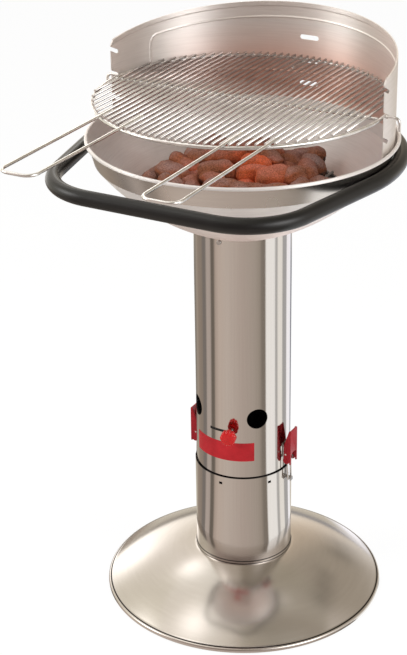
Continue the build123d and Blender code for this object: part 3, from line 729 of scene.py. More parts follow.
def brushed_steel(look, name, metal, heat_glow_low, heat_glow_high, heat_glow_most, heat_glow_rear=None):
    """Brushed stainless sheet; its warm tint, part temper tint from the fire and part painted reflection of
    the coals' glow, fades between two heights, or lies mostly inside the rear.
    """
    material, tree, shader, place = new_finish(name, Metallic=metal, Anisotropic=0.85,
                                               Anisotropic_Rotation=0.25)
    fine = placed(tree, ring_grain(), Vector=place, Fine=520.0, Round=5.0)
    broad = placed(tree, ring_grain(), Vector=place, Fine=120.0, Round=1.5)
    lines = calc(tree, "ADD", calc(tree, "MULTIPLY", fine, FINE_SHARE),
                 calc(tree, "MULTIPLY", broad, 1 - FINE_SHARE))
    marks = placed(tree, handling_marks(), Vector=place, Scale=7.0, Contrast=1.8)
    colour = mixed(tree, portion(tree, lines, 0.3, 0.7), look.brushed_dark, look.brushed)
    axes = split(tree, place)
    warm = remap(tree, axes[2], heat_glow_low, heat_glow_high, heat_glow_most, 0.0)
    if heat_glow_rear:
        near, far, skin_r = heat_glow_rear
        inside = remap(tree, from_axis(tree, place), skin_r - SKIN_BLEND, skin_r + SKIN_BLEND, 1.0, 0.2)
        warm = calc(tree, "MULTIPLY", warm, portion(tree, axes[1], near, far))
        warm = calc(tree, "MULTIPLY", warm, inside)
    along = vector_calc(tree, "CROSS_PRODUCT", (0.0, 0.0, 1.0), place)
    along = add(tree, "ShaderNodeVectorTransform", {0: along}, vector_type="VECTOR",
                convert_from="OBJECT", convert_to="WORLD").outputs[0]
    # Painted glow: the warm tint stands partly for the coals' glow seen in the sheet
    feed(tree, shader, Base_Color=mixed(tree, warm, colour, look.heat_and_glow),
         Roughness=between(tree, marks, 0.40, 0.48), Normal=bumped(tree, fine, 0.12, GRAIN_DEPTH),
         Tangent=along)
    return material


def bright_wire(name, colour, rough):
    """Chromed or plain wire, a little uneven along its length and softer where steel mirrors it."""
    material, tree, shader, place = new_finish(name, Metallic=1.0)
    marks = placed(tree, handling_marks(), Vector=place, Scale=60.0, Contrast=2.0)
    darker = [0.72 * part for part in colour]
    mirrored = tree.nodes.new("ShaderNodeLightPath").outputs["Is Glossy Ray"]
    soft = calc(tree, "ADD", between(tree, marks, rough + 0.08, rough), calc(tree, "MULTIPLY", mirrored, 0.3))
    feed(tree, shader, Base_Color=mixed(tree, marks, darker, colour), Roughness=soft)
    return material


def marked(name, scale, contrast, colours, rough, **constants):
    """A finish whose colour and roughness run from a first value to a second with its marks."""
    material, tree, shader, place = new_finish(name, **constants)
    marks = placed(tree, handling_marks(), Vector=place, Scale=scale, Contrast=contrast)
    feed(tree, shader, Base_Color=mixed(tree, marks, *colours), Roughness=between(tree, marks, *rough))
    return material, tree, shader, place


def satin_black(look):
    """Black coating with a fine orange-peel skin."""
    lighter = [1.6 * part + 0.001 for part in look.black]
    material, tree, shader, place = marked("Satin Black", 14.0, 1.6, (look.black, lighter), (0.27, 0.35),
                                           Specular_IOR_Level=0.42)
    feed(tree, shader, Normal=bumped(tree, noise(tree, place, 700.0), 0.05, 0.0004))
    return material


def moulded(name, colour, rough, shine):
    """Moulded plastic with faint flow marks."""
    deeper = [0.62 * part for part in colour]
    return marked(name, 45.0, 1.5, (deeper, colour), (rough, rough + 0.10), Specular_IOR_Level=shine)[0]


def near_black_steel(look):
    """Near-black steel with faint marks, for the inside of the column and the damper ring."""
    lighter = [2.5 * part for part in look.near_black_and_shade]
    return marked("Near Black", 40.0, 2.0, (look.near_black_and_shade, lighter), (0.75, 0.95))[0]


def glowing_coal(look):
    """Charcoal: red-brown lumps with painted shade below and ashy grey with a painted top light on top, that
    glow in the middle of the heap.
    """
    material, tree, shader, place = new_finish("Charcoal", Emission_Strength=0.22)
    patches = placed(tree, handling_marks(), Vector=place, Scale=22.0, Contrast=3.0)
    speckle = placed(tree, handling_marks(), Vector=place, Scale=520.0, Contrast=5.0)
    tone = add(tree, "ShaderNodeAttribute", attribute_name="lump_tone").outputs["Fac"]
    top = add(tree, "ShaderNodeAttribute", attribute_name="lump_top").outputs["Fac"]
    hot_r, cool_r = 0.03, 0.125
    middle = remap(tree, from_axis(tree, place), hot_r, cool_r, 1.0, 0.0)
    glow = calc(tree, "MULTIPLY", middle, portion(tree, calc(tree, "ADD", patches, tone), 0.5, 1.7))
    # Painted shade: the lumps' undersides and lower sides darken towards near black
    side = mixed(tree, remap(tree, top, -0.45, 0.25, 1.0, 0.0), look.coal, look.near_black_and_shade)
    # Ashy grey on the tops, by how far the surface faces up: part real ashy coat, part painted top light
    ash_top_light_share = calc(tree, "MULTIPLY", portion(tree, top, 0.25, 0.85), patches)
    warm = mixed(tree, glow, mixed(tree, ash_top_light_share, side, look.ash_and_top_light), look.ember)
    dark = calc(tree, "MULTIPLY", calc(tree, "SUBTRACT", 1.0, speckle), 0.48)
    crust = calc(tree, "ADD", noise(tree, place, 160.0, 5.0), calc(tree, "MULTIPLY", speckle, 0.35))
    feed(tree, shader, Base_Color=mixed(tree, dark, warm, look.near_black_and_shade),
         Roughness=between(tree, speckle, 0.95, 0.75),
         Emission_Color=mixed(tree, glow, (0.0, 0.0, 0.0), look.ember),
         Normal=bumped(tree, crust, 0.8, 0.002))
    return material


def foot_creases(stand):
    """Painted shade line where the foot's rim is rolled on."""
    return (("radius", stand.foot_r - stand.foot_bead_r, RIM_CREASE),)


def pot_creases(stand):
    """Painted shade lines above and below the seam round the pot, and along its upper edge."""
    return (("height", FOOT_TOP.z + stand.seam_height, SEAM_CREASE), ("height", FOOT_TOP.z, EDGE_CREASE),
            ("height", POT_TOP.z, EDGE_CREASE))


def finish_of(context, name):
    """The finish of that name, made when it is first asked for."""
    if name in bpy.data.materials:
        return bpy.data.materials[name]
    look = settings(context).finish
    stand = settings(context).stand

    def drawn(creases=()):
        return polished_steel(look, name, line_grain(), 420.0, (0.06, 0.11), 0.03, creases)

    def spun(rough, relief, creases=()):
        return polished_steel(look, name, ring_grain(), 160.0, rough, relief, creases)

    def bowl_steel():
        # Warm tint on the bowl's dish below the coals: part temper tint, part painted glow of the coals
        return brushed_steel(look, name, 0.50, COLUMN_TOP.z, COLUMN_TOP.z + HEAT_GLOW_REACH, 0.3)

    def screen_steel():
        # Warm tint low on the inner rear of the windscreen: part painted reflection of the coals' glow, part
        # temper tint
        low, high = (SCREEN_LOW.z + rise for rise in SCREEN_HEAT_GLOW)
        near, far = (SCREEN_TOP.y * share for share in REAR_HEAT_GLOW)
        skin_r = settings(context).bowl.screen_r - stand.sheet / 2
        return brushed_steel(look, name, 0.92, low, high, 1.0, (near, far, skin_r))

    makers = {
        "Column Steel": drawn,
        "Pot Steel": lambda: drawn(pot_creases(stand)),
        "Foot Steel": lambda: spun((0.145, 0.175), 0.004, foot_creases(stand)),
        "Bowl Wall Steel": lambda: spun((0.24, 0.30), 0.01),
        "Bowl Steel": bowl_steel,
        "Screen Steel": screen_steel,
        "Chrome Wire": lambda: bright_wire(name, look.chrome, 0.12),
        "Grate Wire": lambda: bright_wire(name, [0.4 * part for part in look.chrome], 0.4),
        "Fastener Steel": lambda: bright_wire(name, look.fastener, 0.25),
        "Satin Black": lambda: satin_black(look),
        "Red Moulding": lambda: moulded(name, look.red, 0.10, 0.40),
        "Crimson Moulding": lambda: moulded(name, look.crimson, 0.25, 0.20),
        "Red Plate": lambda: moulded(name, look.plate, 0.30, 0.12),
        "Near Black": lambda: near_black_steel(look),
        "Charcoal": lambda: glowing_coal(look),
    }
    return makers[name]()


# Geometry Nodes

def shape_tree(name, inputs):
    """A Geometry Nodes tree with named inputs; returns the tree, its inputs and its output socket."""
    tree = bpy.data.node_groups.new(name, "GeometryNodeTree")
    for socket, kind in inputs.items():
        tree.interface.new_socket(socket, in_out="INPUT", socket_type=kind)
    tree.interface.new_socket("Geometry", in_out="OUTPUT", socket_type="NodeSocketGeometry")
    return tree, tree.nodes.new("NodeGroupInput").outputs, tree.nodes.new("NodeGroupOutput").inputs[0]


def grown(name, mesh, tree, **values):
    """A plain mesh object grown by a Geometry Nodes tree from a mesh."""
    piece = bpy.data.objects.new(name, mesh)
    bpy.context.scene.collection.objects.link(piece)
    modifier = piece.modifiers.new("Grow", "NODES")
    modifier.node_group = tree
    sockets = {item.name: item.identifier for item in tree.interface.items_tree if item.in_out == "INPUT"}
    for key, value in values.items():
        modifier[sockets[key.replace("_", " ")]] = value
    bpy.context.view_layer.update()
    made = evaluated_mesh(piece)
    piece.modifiers.clear()
    piece.data = made
    made.name = name
    return piece


def bar_row():
    """Parallel bars across a round rim, each as long as its chord."""
    if "Bar Row" in bpy.data.node_groups:
        return bpy.data.node_groups["Bar Row"]
    number = "NodeSocketFloat"
    tree, given, put = shape_tree("Bar Row", {"Count": "NodeSocketInt", "Pitch": number, "Reach": number,
                                              "Height": number, "Diameter": number, "Sides": "NodeSocketInt",
                                              "Finish": "NodeSocketMaterial"})
    spaces = calc(tree, "SUBTRACT", given["Count"], 1.0)
    first = calc(tree, "MULTIPLY", calc(tree, "MULTIPLY", spaces, given["Pitch"]), -0.5)
    row = add(tree, "GeometryNodeMeshLine", {"Count": given["Count"], "Offset": joined(tree, given["Pitch"]),
                                             "Start Location": joined(tree, first, 0.0, given["Height"])})
    radius = calc(tree, "MULTIPLY", given["Diameter"], 0.5)
    rod = add(tree, "GeometryNodeMeshCylinder", {"Vertices": given["Sides"], "Radius": radius, "Depth": 1.0})
    rod_smooth = add(tree, "GeometryNodeSetShadeSmooth", {"Geometry": rod.outputs["Mesh"],
                                                          "Selection": rod.outputs["Side"]})
    across = split(tree, add(tree, "GeometryNodeInputPosition").outputs[0])[0]
    reach = calc(tree, "POWER", given["Reach"], 2.0)
    half = calc(tree, "SQRT", calc(tree, "SUBTRACT", reach, calc(tree, "POWER", across, 2.0)))
    stretch = joined(tree, 1.0, 1.0, calc(tree, "MULTIPLY", half, 2.0))
    lie = add(tree, "FunctionNodeEulerToRotation", {0: (math.pi / 2, 0.0, 0.0)}).outputs[0]
    bars = add(tree, "GeometryNodeInstanceOnPoints", {"Points": row.outputs[0], "Scale": stretch,
                                                      "Instance": rod_smooth.outputs[0], "Rotation": lie})
    real = add(tree, "GeometryNodeRealizeInstances", {"Geometry": bars.outputs[0]})
    done = add(tree, "GeometryNodeSetMaterial", {"Geometry": real.outputs[0], "Material": given["Finish"]})
    tree.links.new(done.outputs[0], put)
    return tree


def coal_pile():
    """Rough rounded lumps on points that carry their own turn, size and tone."""
    number = "NodeSocketFloat"
    tree, given, put = shape_tree("Coal Pile", {"Points": "NodeSocketGeometry", "Knobs": number,
                                                "Grit": number, "Finish": "NodeSocketMaterial"})
    ball = add(tree, "GeometryNodeMeshUVSphere", {"Segments": 40, "Rings": 30, "Radius": 1.0})
    place = add(tree, "GeometryNodeInputPosition").outputs[0]
    parts = split(tree, place)
    blunt = calc(tree, "SQRT", calc(tree, "ADD", calc(tree, "POWER", parts[2], 2.0), 1.0))
    log_place = joined(tree, calc(tree, "MULTIPLY", parts[0], blunt),
                       calc(tree, "MULTIPLY", parts[1], blunt), parts[2])
    log = add(tree, "GeometryNodeSetPosition", {"Geometry": ball.outputs[0], "Position": log_place})
    turn, size = (add(tree, "GeometryNodeInputNamedAttribute", {"Name": name},
                      data_type="FLOAT_VECTOR").outputs[0] for name in ("turn", "size"))
    lie = add(tree, "FunctionNodeEulerToRotation", {0: turn}).outputs[0]
    pile = add(tree, "GeometryNodeInstanceOnPoints", {"Points": given["Points"], "Instance": log.outputs[0],
                                                      "Rotation": lie, "Scale": size})
    shape = add(tree, "GeometryNodeRealizeInstances", {"Geometry": pile.outputs[0]}).outputs[0]
    normal = add(tree, "GeometryNodeInputNormal").outputs[0]
    for scale, depth in ((34.0, given["Knobs"]), (120.0, given["Grit"])):
        height = calc(tree, "MULTIPLY", calc(tree, "SUBTRACT", noise(tree, place, scale, 3.0), 0.5), depth)
        move = scaled(tree, normal, height)
        shape = add(tree, "GeometryNodeSetPosition", {"Geometry": shape, "Offset": move}).outputs[0]
    upward = split(tree, normal)[2]
    shape = add(tree, "GeometryNodeStoreNamedAttribute",
                {"Geometry": shape, "Name": "lump_top", "Value": upward},
                data_type="FLOAT", domain="POINT").outputs[0]
    soft = add(tree, "GeometryNodeSetShadeSmooth", {"Geometry": shape})
    done = add(tree, "GeometryNodeSetMaterial", {"Geometry": soft.outputs[0], "Material": given["Finish"]})
    tree.links.new(done.outputs[0], put)
    return tree


# Pieces

class GRILL_OT_foot(Operator):
    """Turn the foot with its rolled rim"""
    bl_idname = "grill.foot"
    bl_label = "Foot"

    def execute(self, context):
        s = settings(context).stand
        cone_end = (s.foot_r - s.foot_bead_r, 2 * s.foot_bead_r)
        path = [(0.0, FOOT_TOP.z)]
        path += [(s.foot_neck_r * share, FOOT_TOP.z) for share in (0.5, 0.97)]
        path += bulged((s.foot_neck_r, FOOT_TOP.z), cone_end, s.foot_rise, 40)
        path += arc((cone_end[0], s.foot_bead_r), s.foot_bead_r, math.pi / 2, -math.pi / 2, 14)[1:]
        path.append((s.foot_r - s.foot_flange, 0.0))
        section = walled(path, s.sheet)
        foot = turned(context, "Foot", section, TURNED_SIDES, "Foot Steel")
        seat(foot, "base", "stainless_polished", "base_foot")
        return {"FINISHED"}


class GRILL_OT_ash_pot(Operator):
    """Turn the ash pot and cut its tabs and catch slots"""
    bl_idname = "grill.ash_pot"
    bl_label = "Ash Pot"

    def execute(self, context):
        s = settings(context).stand
        low = FOOT_TOP.z
        bend = s.seam_height / 2
        edge = EDGE_SHARE * s.sheet
        inner = s.pot_r - s.sheet
        through = 6 * s.sheet
        path = [(0.0, low), (s.pot_r, low)]
        path += [(s.pot_r + s.seam_proud * math.sin(turn), low + bend - bend * math.cos(turn))
                 for turn in (math.pi * index / 10 for index in range(1, 11))]
        path += [(s.pot_r, low + s.seam_height + edge), (s.pot_r, POT_TOP.z - edge)]
        path += [(s.pot_r - edge, POT_TOP.z), (inner + edge, POT_TOP.z), (inner, POT_TOP.z - edge)]
        path += [(inner, low + s.sheet), (0.0, low + s.sheet)]
        pot = turned(context, "Ash_Pot", path, TURNED_SIDES, "Pot Steel")

        def cutters(shape):
            tab_z = COLUMN_LOW.z - s.sheet - s.tab_height / 2
            for index in range(s.tab_count):
                place = outward(2 * math.pi * index / s.tab_count, s.pot_r, tab_z)
                block(shape, place, (s.tab_width, s.tab_height, through))
            slot_z = POT_TOP.z - s.catch_drop + s.catch_height / 2
            for side in (1, -1):
                place = outward(side * math.pi / 2, s.pot_r, slot_z)
                block(shape, place, (s.catch_width, s.catch_height, through))

        carve(pot, cutters, round_wall)
        seat(pot, "base", "stainless_polished", "ash_pot")
        return {"FINISHED"}


class GRILL_OT_column(Operator):
    """Draw the chimney column and cut its vents and slot"""
    bl_idname = "grill.column"
    bl_label = "Column"

    def execute(self, context):
        s = settings(context).stand
        edge = EDGE_SHARE * s.sheet
        inner = s.column_r - s.sheet
        section = [(s.column_r, COLUMN_LOW.z + edge), (s.column_r, COLUMN_TOP.z - edge),
                   (s.column_r - edge, COLUMN_TOP.z), (inner + edge, COLUMN_TOP.z),
                   (inner, COLUMN_TOP.z - edge), (inner, COLUMN_LOW.z + edge),
                   (inner + edge, COLUMN_LOW.z), (s.column_r - edge, COLUMN_LOW.z)]
        column = turned(context, "Column", section, TURNED_SIDES, "Column Steel")

        def cutters(shape):
            for turn in (s.vent_turn, -s.vent_turn):
                place = outward(turn, 0.0, COLUMN_LOW.z + s.vent_up)
                drill(shape, place, s.vent_r, 3 * s.column_r, VENT_SIDES)
            slot_z = COLUMN_LOW.z + s.slot_up
            band(shape, s.slot_half, inner - s.sheet, s.column_r + s.sheet, slot_z - s.slot_r,
                 slot_z + s.slot_r, 24)

        carve(column, cutters, round_wall)
        column.data.materials.append(finish_of(context, "Near Black"))
        for polygon in column.data.polygons:
            out = Vector((polygon.center.x, polygon.center.y, 0.0)).normalized()
            if polygon.normal.dot(out) < -0.5 and polygon.center.xy.length < inner + edge:
                polygon.material_index = 1
        seat(column, "base", "stainless_polished", "column_tube")
        return {"FINISHED"}


class GRILL_OT_red_plate(Operator):
    """Lay the bare red plate round the front of the column"""
    bl_idname = "grill.red_plate"
    bl_label = "Red Plate"

    def execute(self, context):
        s = settings(context).stand
        inner = s.column_r + PLATE_GAP
        plate = mesh_piece("Red_Plate", lambda shape: band(
            shape, s.plate_half, inner, inner + s.plate_thick, s.plate_low, s.plate_high, 48),
            finish_of(context, "Red Plate"))
        seat(plate, "base", "red_plastic")
        return {"FINISHED"}


class GRILL_OT_bowl(Operator):
    """Spin the bowl with its rolled rim, creased wall and collar"""
    bl_idname = "grill.bowl"
    bl_label = "Bowl"

    def execute(self, context):
        s = settings(context).bowl
        sheet = settings(context).stand.sheet
        wall_top_z = BOWL_TOP.z - sheet - s.curl_r
        crease = (s.crease_r, BOWL_TOP.z - s.crease_drop)
        curl = (s.wall_top_r + s.curl_r, wall_top_z)
        path = [(s.wall_top_r + 2 * s.curl_r, wall_top_z - s.curl_r)]
        path += arc(curl, s.curl_r, 0.0, math.pi, 10)
        dish = bulged(crease, (s.dish_r, COLUMN_TOP.z), s.dish_sag, 48)
        bent = 3
        bend = rounded([(s.wall_top_r, wall_top_z), crease, dish[2 * bent]], s.crease_bend, 8)
        path += [tuple(point) for point in bend[1:-1]]
        path += dish[bent:]
        path += [(s.collar_r, COLUMN_TOP.z), (s.collar_r, BOWL_LOW.z)]
        section = walled(path, sheet)
        bowl = turned(context, "Bowl", section, BOWL_SIDES, "Bowl Steel")
        bowl.data.materials.append(finish_of(context, "Bowl Wall Steel"))
        for face in bowl.data.polygons:
            if face.normal.z < 0 and crease[1] < face.center.z < wall_top_z - s.curl_r:
                face.material_index = 1
        seat(bowl, "base", "stainless_brushed", "bowl")
        return {"FINISHED"}


class GRILL_OT_handle_bar(Operator):
    """Bend the black bar round the bowl"""
    bl_idname = "grill.handle_bar"
    bl_label = "Handle Bar"

    def execute(self, context):
        s = settings(context).bowl
        z = mid_z("handle_bar")
        run = (s.bar_front - s.bar_path_r * math.cos(s.bar_arm)) / math.sin(s.bar_arm)
        corner_x = s.bar_path_r * math.sin(s.bar_arm) - run * math.cos(s.bar_arm)
        wrap = [s.bar_end + (s.bar_arm - s.bar_end) * index / 30 for index in range(31)]
        left = [polar(s.bar_path_r, -turn, z) for turn in wrap]
        right = [polar(s.bar_path_r, turn, z) for turn in reversed(wrap)]
        front = [Vector((side * corner_x, -s.bar_front, z)) for side in (-1, 1)]
        line = left[:-1] + rounded([left[-1], *front, right[0]], s.bar_corner, 24) + right[1:]
        bar = wired(context, "Handle_Bar", line, 2 * s.bar_r, BAR_SIDES, "Satin Black")
        seat(bar, "base", "black_bar", "handle_bar")
        paint(finish_of(context, "Satin Black"), "handle_caps")
        return {"FINISHED"}


class GRILL_OT_windscreen(Operator):
    """Form the windscreen with its hem and rib, and cut its slots and notches"""
    bl_idname = "grill.windscreen"
    bl_label = "Windscreen"

    def execute(self, context):
        s = settings(context).bowl
        grid = settings(context).grid
        sheet = settings(context).stand.sheet
        inner_r = s.screen_r - sheet
        rear_rise = SCREEN_TOP.z - s.screen_end_z

        def top_z(turn):
            return s.screen_end_z + rear_rise * math.cos(turn)

        def rib(turn, z):
            aside = abs(turn) * s.screen_r - (s.rib_reach * s.screen_r - s.rib_corner)
            above = z - (top_z(turn) - s.rib_drop - s.rib_corner)
            below = s.rib_low + s.rib_corner - z
            level = max(above, below)
            outside = math.hypot(max(aside, 0.0), max(level, 0.0)) + min(max(aside, level), 0.0)
            outside -= s.rib_corner
            share = abs(outside + s.rib_width / 2) / (s.rib_width / 2)
            return s.rib_proud * (0.5 + 0.5 * math.cos(math.pi * share)) if share < 1 else 0.0

        def hem(turn, z):
            drop = top_z(turn) - z
            rise = ramp(drop, s.hem, 0.75 * s.hem)
            return s.hem_proud * rise * rise * (3 - 2 * rise)

        def folded(turn, z):
            return rib(turn, z) + hem(turn, z)

        # Steps of the mesh: fine over the rib and the hem, coarse elsewhere
        coarse, medium, fine, finest = 0.006, 0.004, 0.0013, 0.0008
        rear_step, end_step = 0.0063, 0.005
        low_margin, hem_margin, rib_margin = 0.004, 0.002, 0.003
        round_end = 1.4 * s.rib_corner
        side = s.rib_reach * s.screen_r
        stops = [0.0, side - round_end, side + 0.3 * s.rib_corner, math.pi / 2 * s.screen_r]
        half = spread(stops, (rear_step, fine, end_step))
        turns = [-place / s.screen_r for place in reversed(half[1:])] + [place / s.screen_r for place in half]
        low_rows = spread([SCREEN_LOW.z, s.rib_low - low_margin, s.rib_low + round_end], (coarse, fine))
        drops = spread([0.0, s.hem + hem_margin, s.rib_drop - rib_margin, s.rib_drop + round_end],
                       (finest, medium, fine))
        between_rows = 6

        def rows(turn):
            heights = list(low_rows)
            upper = top_z(turn) - drops[-1]
            for index in range(1, between_rows + 1):
                heights.append(low_rows[-1] + (upper - low_rows[-1]) * index / (between_rows + 1))
            heights += [top_z(turn) - drop for drop in reversed(drops)]
            return heights

        def build(shape):
            faces = []
            for radius, press in ((inner_r, folded), (s.screen_r, rib)):
                faces.append([[shape.verts.new(polar(radius - press(turn, z), math.pi + turn, z))
                               for z in rows(turn)] for turn in turns])
            for face in faces:
                for one, two in zip(face, face[1:]):
                    strip(shape, one, two)
            inside, outside = faces
            for one, two, three, four in zip(inside, inside[1:], outside, outside[1:]):
                shape.faces.new((one[0], two[0], four[0], three[0]))
                shape.faces.new((one[-1], two[-1], four[-1], three[-1]))
            for end in (0, -1):
                strip(shape, inside[end], outside[end])

        screen = mesh_piece("Windscreen", build, finish_of(context, "Screen Steel"))
        grid_z = mid_z("grid_rim")
        slot_z = TAB_LOW.z - SLOT_PLAY + s.slot_height / 2
        through = 0.012
        notch_half = 0.02
        upright = Matrix.Rotation(math.pi / 2, 4, "Z")

        def cutters(shape):
            for level in (-1, 0, 1):
                place = outward(math.pi, s.screen_r, slot_z + level * s.level)
                flat = s.slot_width / 2 - s.slot_height / 2
                prism(shape, place, capsule(flat, s.slot_height / 2), through)
                lead = Matrix.Translation((0.0, grid.hook_y, grid_z + level * s.level))
                lead = lead @ Matrix.Rotation(-s.notch_slope, 4, "X") @ Matrix.Rotation(math.pi / 2, 4, "Y")
                lead = lead @ Matrix.Translation((0.0, -notch_half, 0.0)) @ upright
                prism(shape, lead, capsule(notch_half, s.notch_width / 2), 4 * s.screen_r)
            for end in (1, -1):
                place = Matrix.Translation((end * s.screen_r, 0.0, s.screen_end_z))
                width = math.sqrt(2) * s.corner
                block(shape, place @ Matrix.Rotation(math.pi / 4, 4, "X"), (through, width, width))

        def pressed_wall(place, face_normal):
            out = Vector((place.x, place.y, 0.0)).normalized()
            around = Vector((-out.y, out.x, 0.0))
            turn = math.atan2(place.x, -place.y) - math.pi
            turn += 2 * math.pi if turn < -math.pi else 0.0
            inside = out.dot(face_normal) < 0
            press = folded if inside else rib
            step = 0.0002
            aside = step / s.screen_r
            slant = (press(turn + aside, place.z) - press(turn - aside, place.z)) / (2 * step)
            lean = (press(turn, place.z + step) - press(turn, place.z - step)) / (2 * step)
            normal = (out + around * slant + Vector((0.0, 0.0, lean))).normalized()
            return -normal if inside else normal

        carve(screen, cutters, pressed_wall)
        seat(screen, "windscreen", "stainless_brushed", "windscreen")
        return {"FINISHED"}


class GRILL_OT_cooking_grid(Operator):
    """Bend the grid's wires and lay its bars"""
    bl_idname = "grill.cooking_grid"
    bl_label = "Cooking Grid"

    def execute(self, context):
        s = settings(context).grid
        chrome = finish_of(context, "Chrome Wire")
        rim_r = GRID_TOP.x - s.rim_d / 2
        z = mid_z("grid_rim")
        bars = grown("Grid_Bars", bpy.data.meshes.new("Grid_Bars"), bar_row(), Count=s.bar_count,
                     Pitch=s.bar_pitch, Reach=rim_r, Height=mid_z("grid_bars"), Diameter=s.bar_d,
                     Sides=THIN_SIDES, Finish=chrome)
        seat(bars, "cooking_grid", "chrome_wire", "grid_bars")
        rim = wired(context, "Grid_Rim", hoop(rim_r, z, 180), s.rim_d, WIRE_SIDES, "Chrome Wire", closed=True)
        seat(rim, "cooking_grid", "chrome_wire", "grid_rim")
        line = [(x, 0, mid_z("grid_cross_wire")) for x in (CROSS_LOW.x, 0, CROSS_TOP.x)]
        cross = wired(context, "Grid_Cross_Wire", line, s.cross_d, WIRE_SIDES, "Chrome Wire")
        seat(cross, "cooking_grid", "chrome_wire", "grid_cross_wire")

        def hooks(shape):
            inner = math.sqrt(GRID_TOP.x**2 - (s.hook_y - s.hook_d / 2)**2)
            outer = HOOK_TOP.x - s.hook_d / 2
            for side in (1, -1):
                points = [(side * x, s.hook_y, up) for x, up in ((inner, z), (outer, z), (outer, HOOK_LOW.z))]
                pipe(shape, rounded(points, s.hook_bend, 10), s.hook_d / 2, WIRE_SIDES)

        seat(mesh_piece("Grid_Side_Hooks", hooks, chrome), "cooking_grid", "chrome_wire", "grid_side_hooks")
        loop(context, "Grid_Rear_Tab", TAB_LOW, TAB_TOP, s.tab_d, s.tab_bend, 1, "grid_rear_tab")
        for node in ("grid_handle_right", "grid_handle_left"):
            loop(context, node.title(), *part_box(node), s.handle_d, s.handle_bend, -1, node)
        return {"FINISHED"}


def loop(context, name, low, high, diameter, bend, nose_way, node):
    """A U-shaped wire loop that fills a node's box; its nose points to +Y or -Y."""
    half = diameter / 2
    z = (low.z + high.z) / 2
    nose = high.y - half if nose_way > 0 else low.y + half
    tail = low.y if nose_way > 0 else high.y
    left, right = low.x + half, high.x - half
    line = rounded([(left, tail, z), (left, nose, z), (right, nose, z), (right, tail, z)], bend, 14)
    piece = wired(context, name, line, diameter, WIRE_SIDES, "Chrome Wire")
    seat(piece, "cooking_grid", "chrome_wire", node)


class GRILL_OT_coal_grate(Operator):
    """Lay the grate that carries the charcoal"""
    bl_idname = "grill.coal_grate"
    bl_label = "Coal Grate"

    def execute(self, context):
        s = settings(context).grid
        rim_r = GRATE_TOP.x - s.grate_d / 2
        circle = hoop(rim_r, mid_z("coal_grate_rim"), 120)
        rim = wired(context, "Coal_Grate_Rim", circle, s.grate_d, THIN_SIDES, "Grate Wire", closed=True)
        seat(rim, "coal_bed", "grate_steel", "coal_grate_rim")
        bars = grown("Coal_Grate_Bars", bpy.data.meshes.new("Coal_Grate_Bars"), bar_row(),
                     Count=s.grate_count, Pitch=s.grate_pitch, Reach=rim_r, Height=mid_z("coal_grate_bars"),
                     Diameter=s.grate_bar_d, Sides=THIN_SIDES, Finish=finish_of(context, "Grate Wire"))
        seat(bars, "coal_bed", "grate_steel", "coal_grate_bars")
        return {"FINISHED"}


class GRILL_OT_charcoal(Operator):
    """Heap the charcoal on its grate"""
    bl_idname = "grill.charcoal"
    bl_label = "Charcoal"

    def execute(self, context):
        s = settings(context).grid
        draw = random.Random(s.coal_seed)
        places, turns, sizes, tones = [], [], [], []
        low = COAL_LOW.z + s.coal_r
        tip, lean, swing = 0.22, 0.25, 0.9
        edge_heap, layer_rise = 1.12, 1.35
        for index in range(s.coal_count):
            share = (index + 0.5) / s.coal_count
            reach = s.coal_reach * math.sqrt(share)
            turn = index * GOLDEN_TURN
            heap = 1 - (reach / (edge_heap * s.coal_reach))**2
            z = low + index % 2 * heap * layer_rise * s.coal_r
            places.append(polar(reach, turn, z))
            turns.append((math.pi / 2 + draw.uniform(-tip, tip), draw.uniform(-lean, lean),
                          turn + math.pi / 2 + draw.uniform(-swing, swing)))
            thick = s.coal_r * draw.uniform(0.85, 1.12)
            sizes.append((thick, thick * draw.uniform(0.85, 1.05), s.coal_length * draw.uniform(0.75, 1.1)))
            tones.append(draw.random())
        mesh = bpy.data.meshes.new("Charcoal")
        mesh.from_pydata(places, [], [])
        for key, values in (("turn", turns), ("size", sizes)):
            layer = mesh.attributes.new(key, "FLOAT_VECTOR", "POINT")
            layer.data.foreach_set("vector", [number for value in values for number in value])
        mesh.attributes.new("lump_tone", "FLOAT", "POINT").data.foreach_set("value", tones)
        coal = grown("Charcoal", mesh, coal_pile(), Knobs=s.coal_knobs, Grit=s.coal_grit,
                     Finish=finish_of(context, "Charcoal"))
        seat(coal, "coal_bed", "charcoal", "charcoal_lumps")
        return {"FINISHED"}


class GRILL_OT_regulator(Operator):
    """Mould the lobed knob of the air regulator"""
    bl_idname = "grill.regulator"
    bl_label = "Air Regulator"

    def execute(self, context):
        s = settings(context).stand
        place = outward(s.knob_turn, s.column_r + s.knob_stand, COLUMN_LOW.z + s.slot_up)
        sides = 12 * s.knob_lobes
        rows = [(0.0, 0.0, s.knob_neck_r), (0.0, 0.92 * s.knob_neck, s.knob_neck_r)]
        body = s.knob_length - s.knob_neck
        rows += [(size, s.knob_neck + up * body, None) for up, size in KNOB_PROFILE]

        def build(shape):
            rings = []
            for size, up, plain in rows:
                ring = []
                for k in range(sides):
                    turn = 2 * math.pi * k / sides
                    lobe = abs(math.cos(turn * s.knob_lobes / 2))
                    radius = plain or size * (s.knob_waist + (s.knob_r - s.knob_waist) * lobe**0.6)
                    point = Vector((radius * math.cos(turn), radius * math.sin(turn), up))
                    ring.append(shape.verts.new(place @ point))
                rings.append(ring)
            skin(shape, rings, capped=False)
            shape.faces.new(rings[0][::-1])

        knob = mesh_piece("Regulator_Knob", build, finish_of(context, "Red Moulding"))
        seat(knob, "damper", "red_plastic", "damper_knob")
        paint(finish_of(context, "Near Black"), "damper_ring")
        paint(finish_of(context, "Fastener Steel"), "damper_stem")
        return {"FINISHED"}


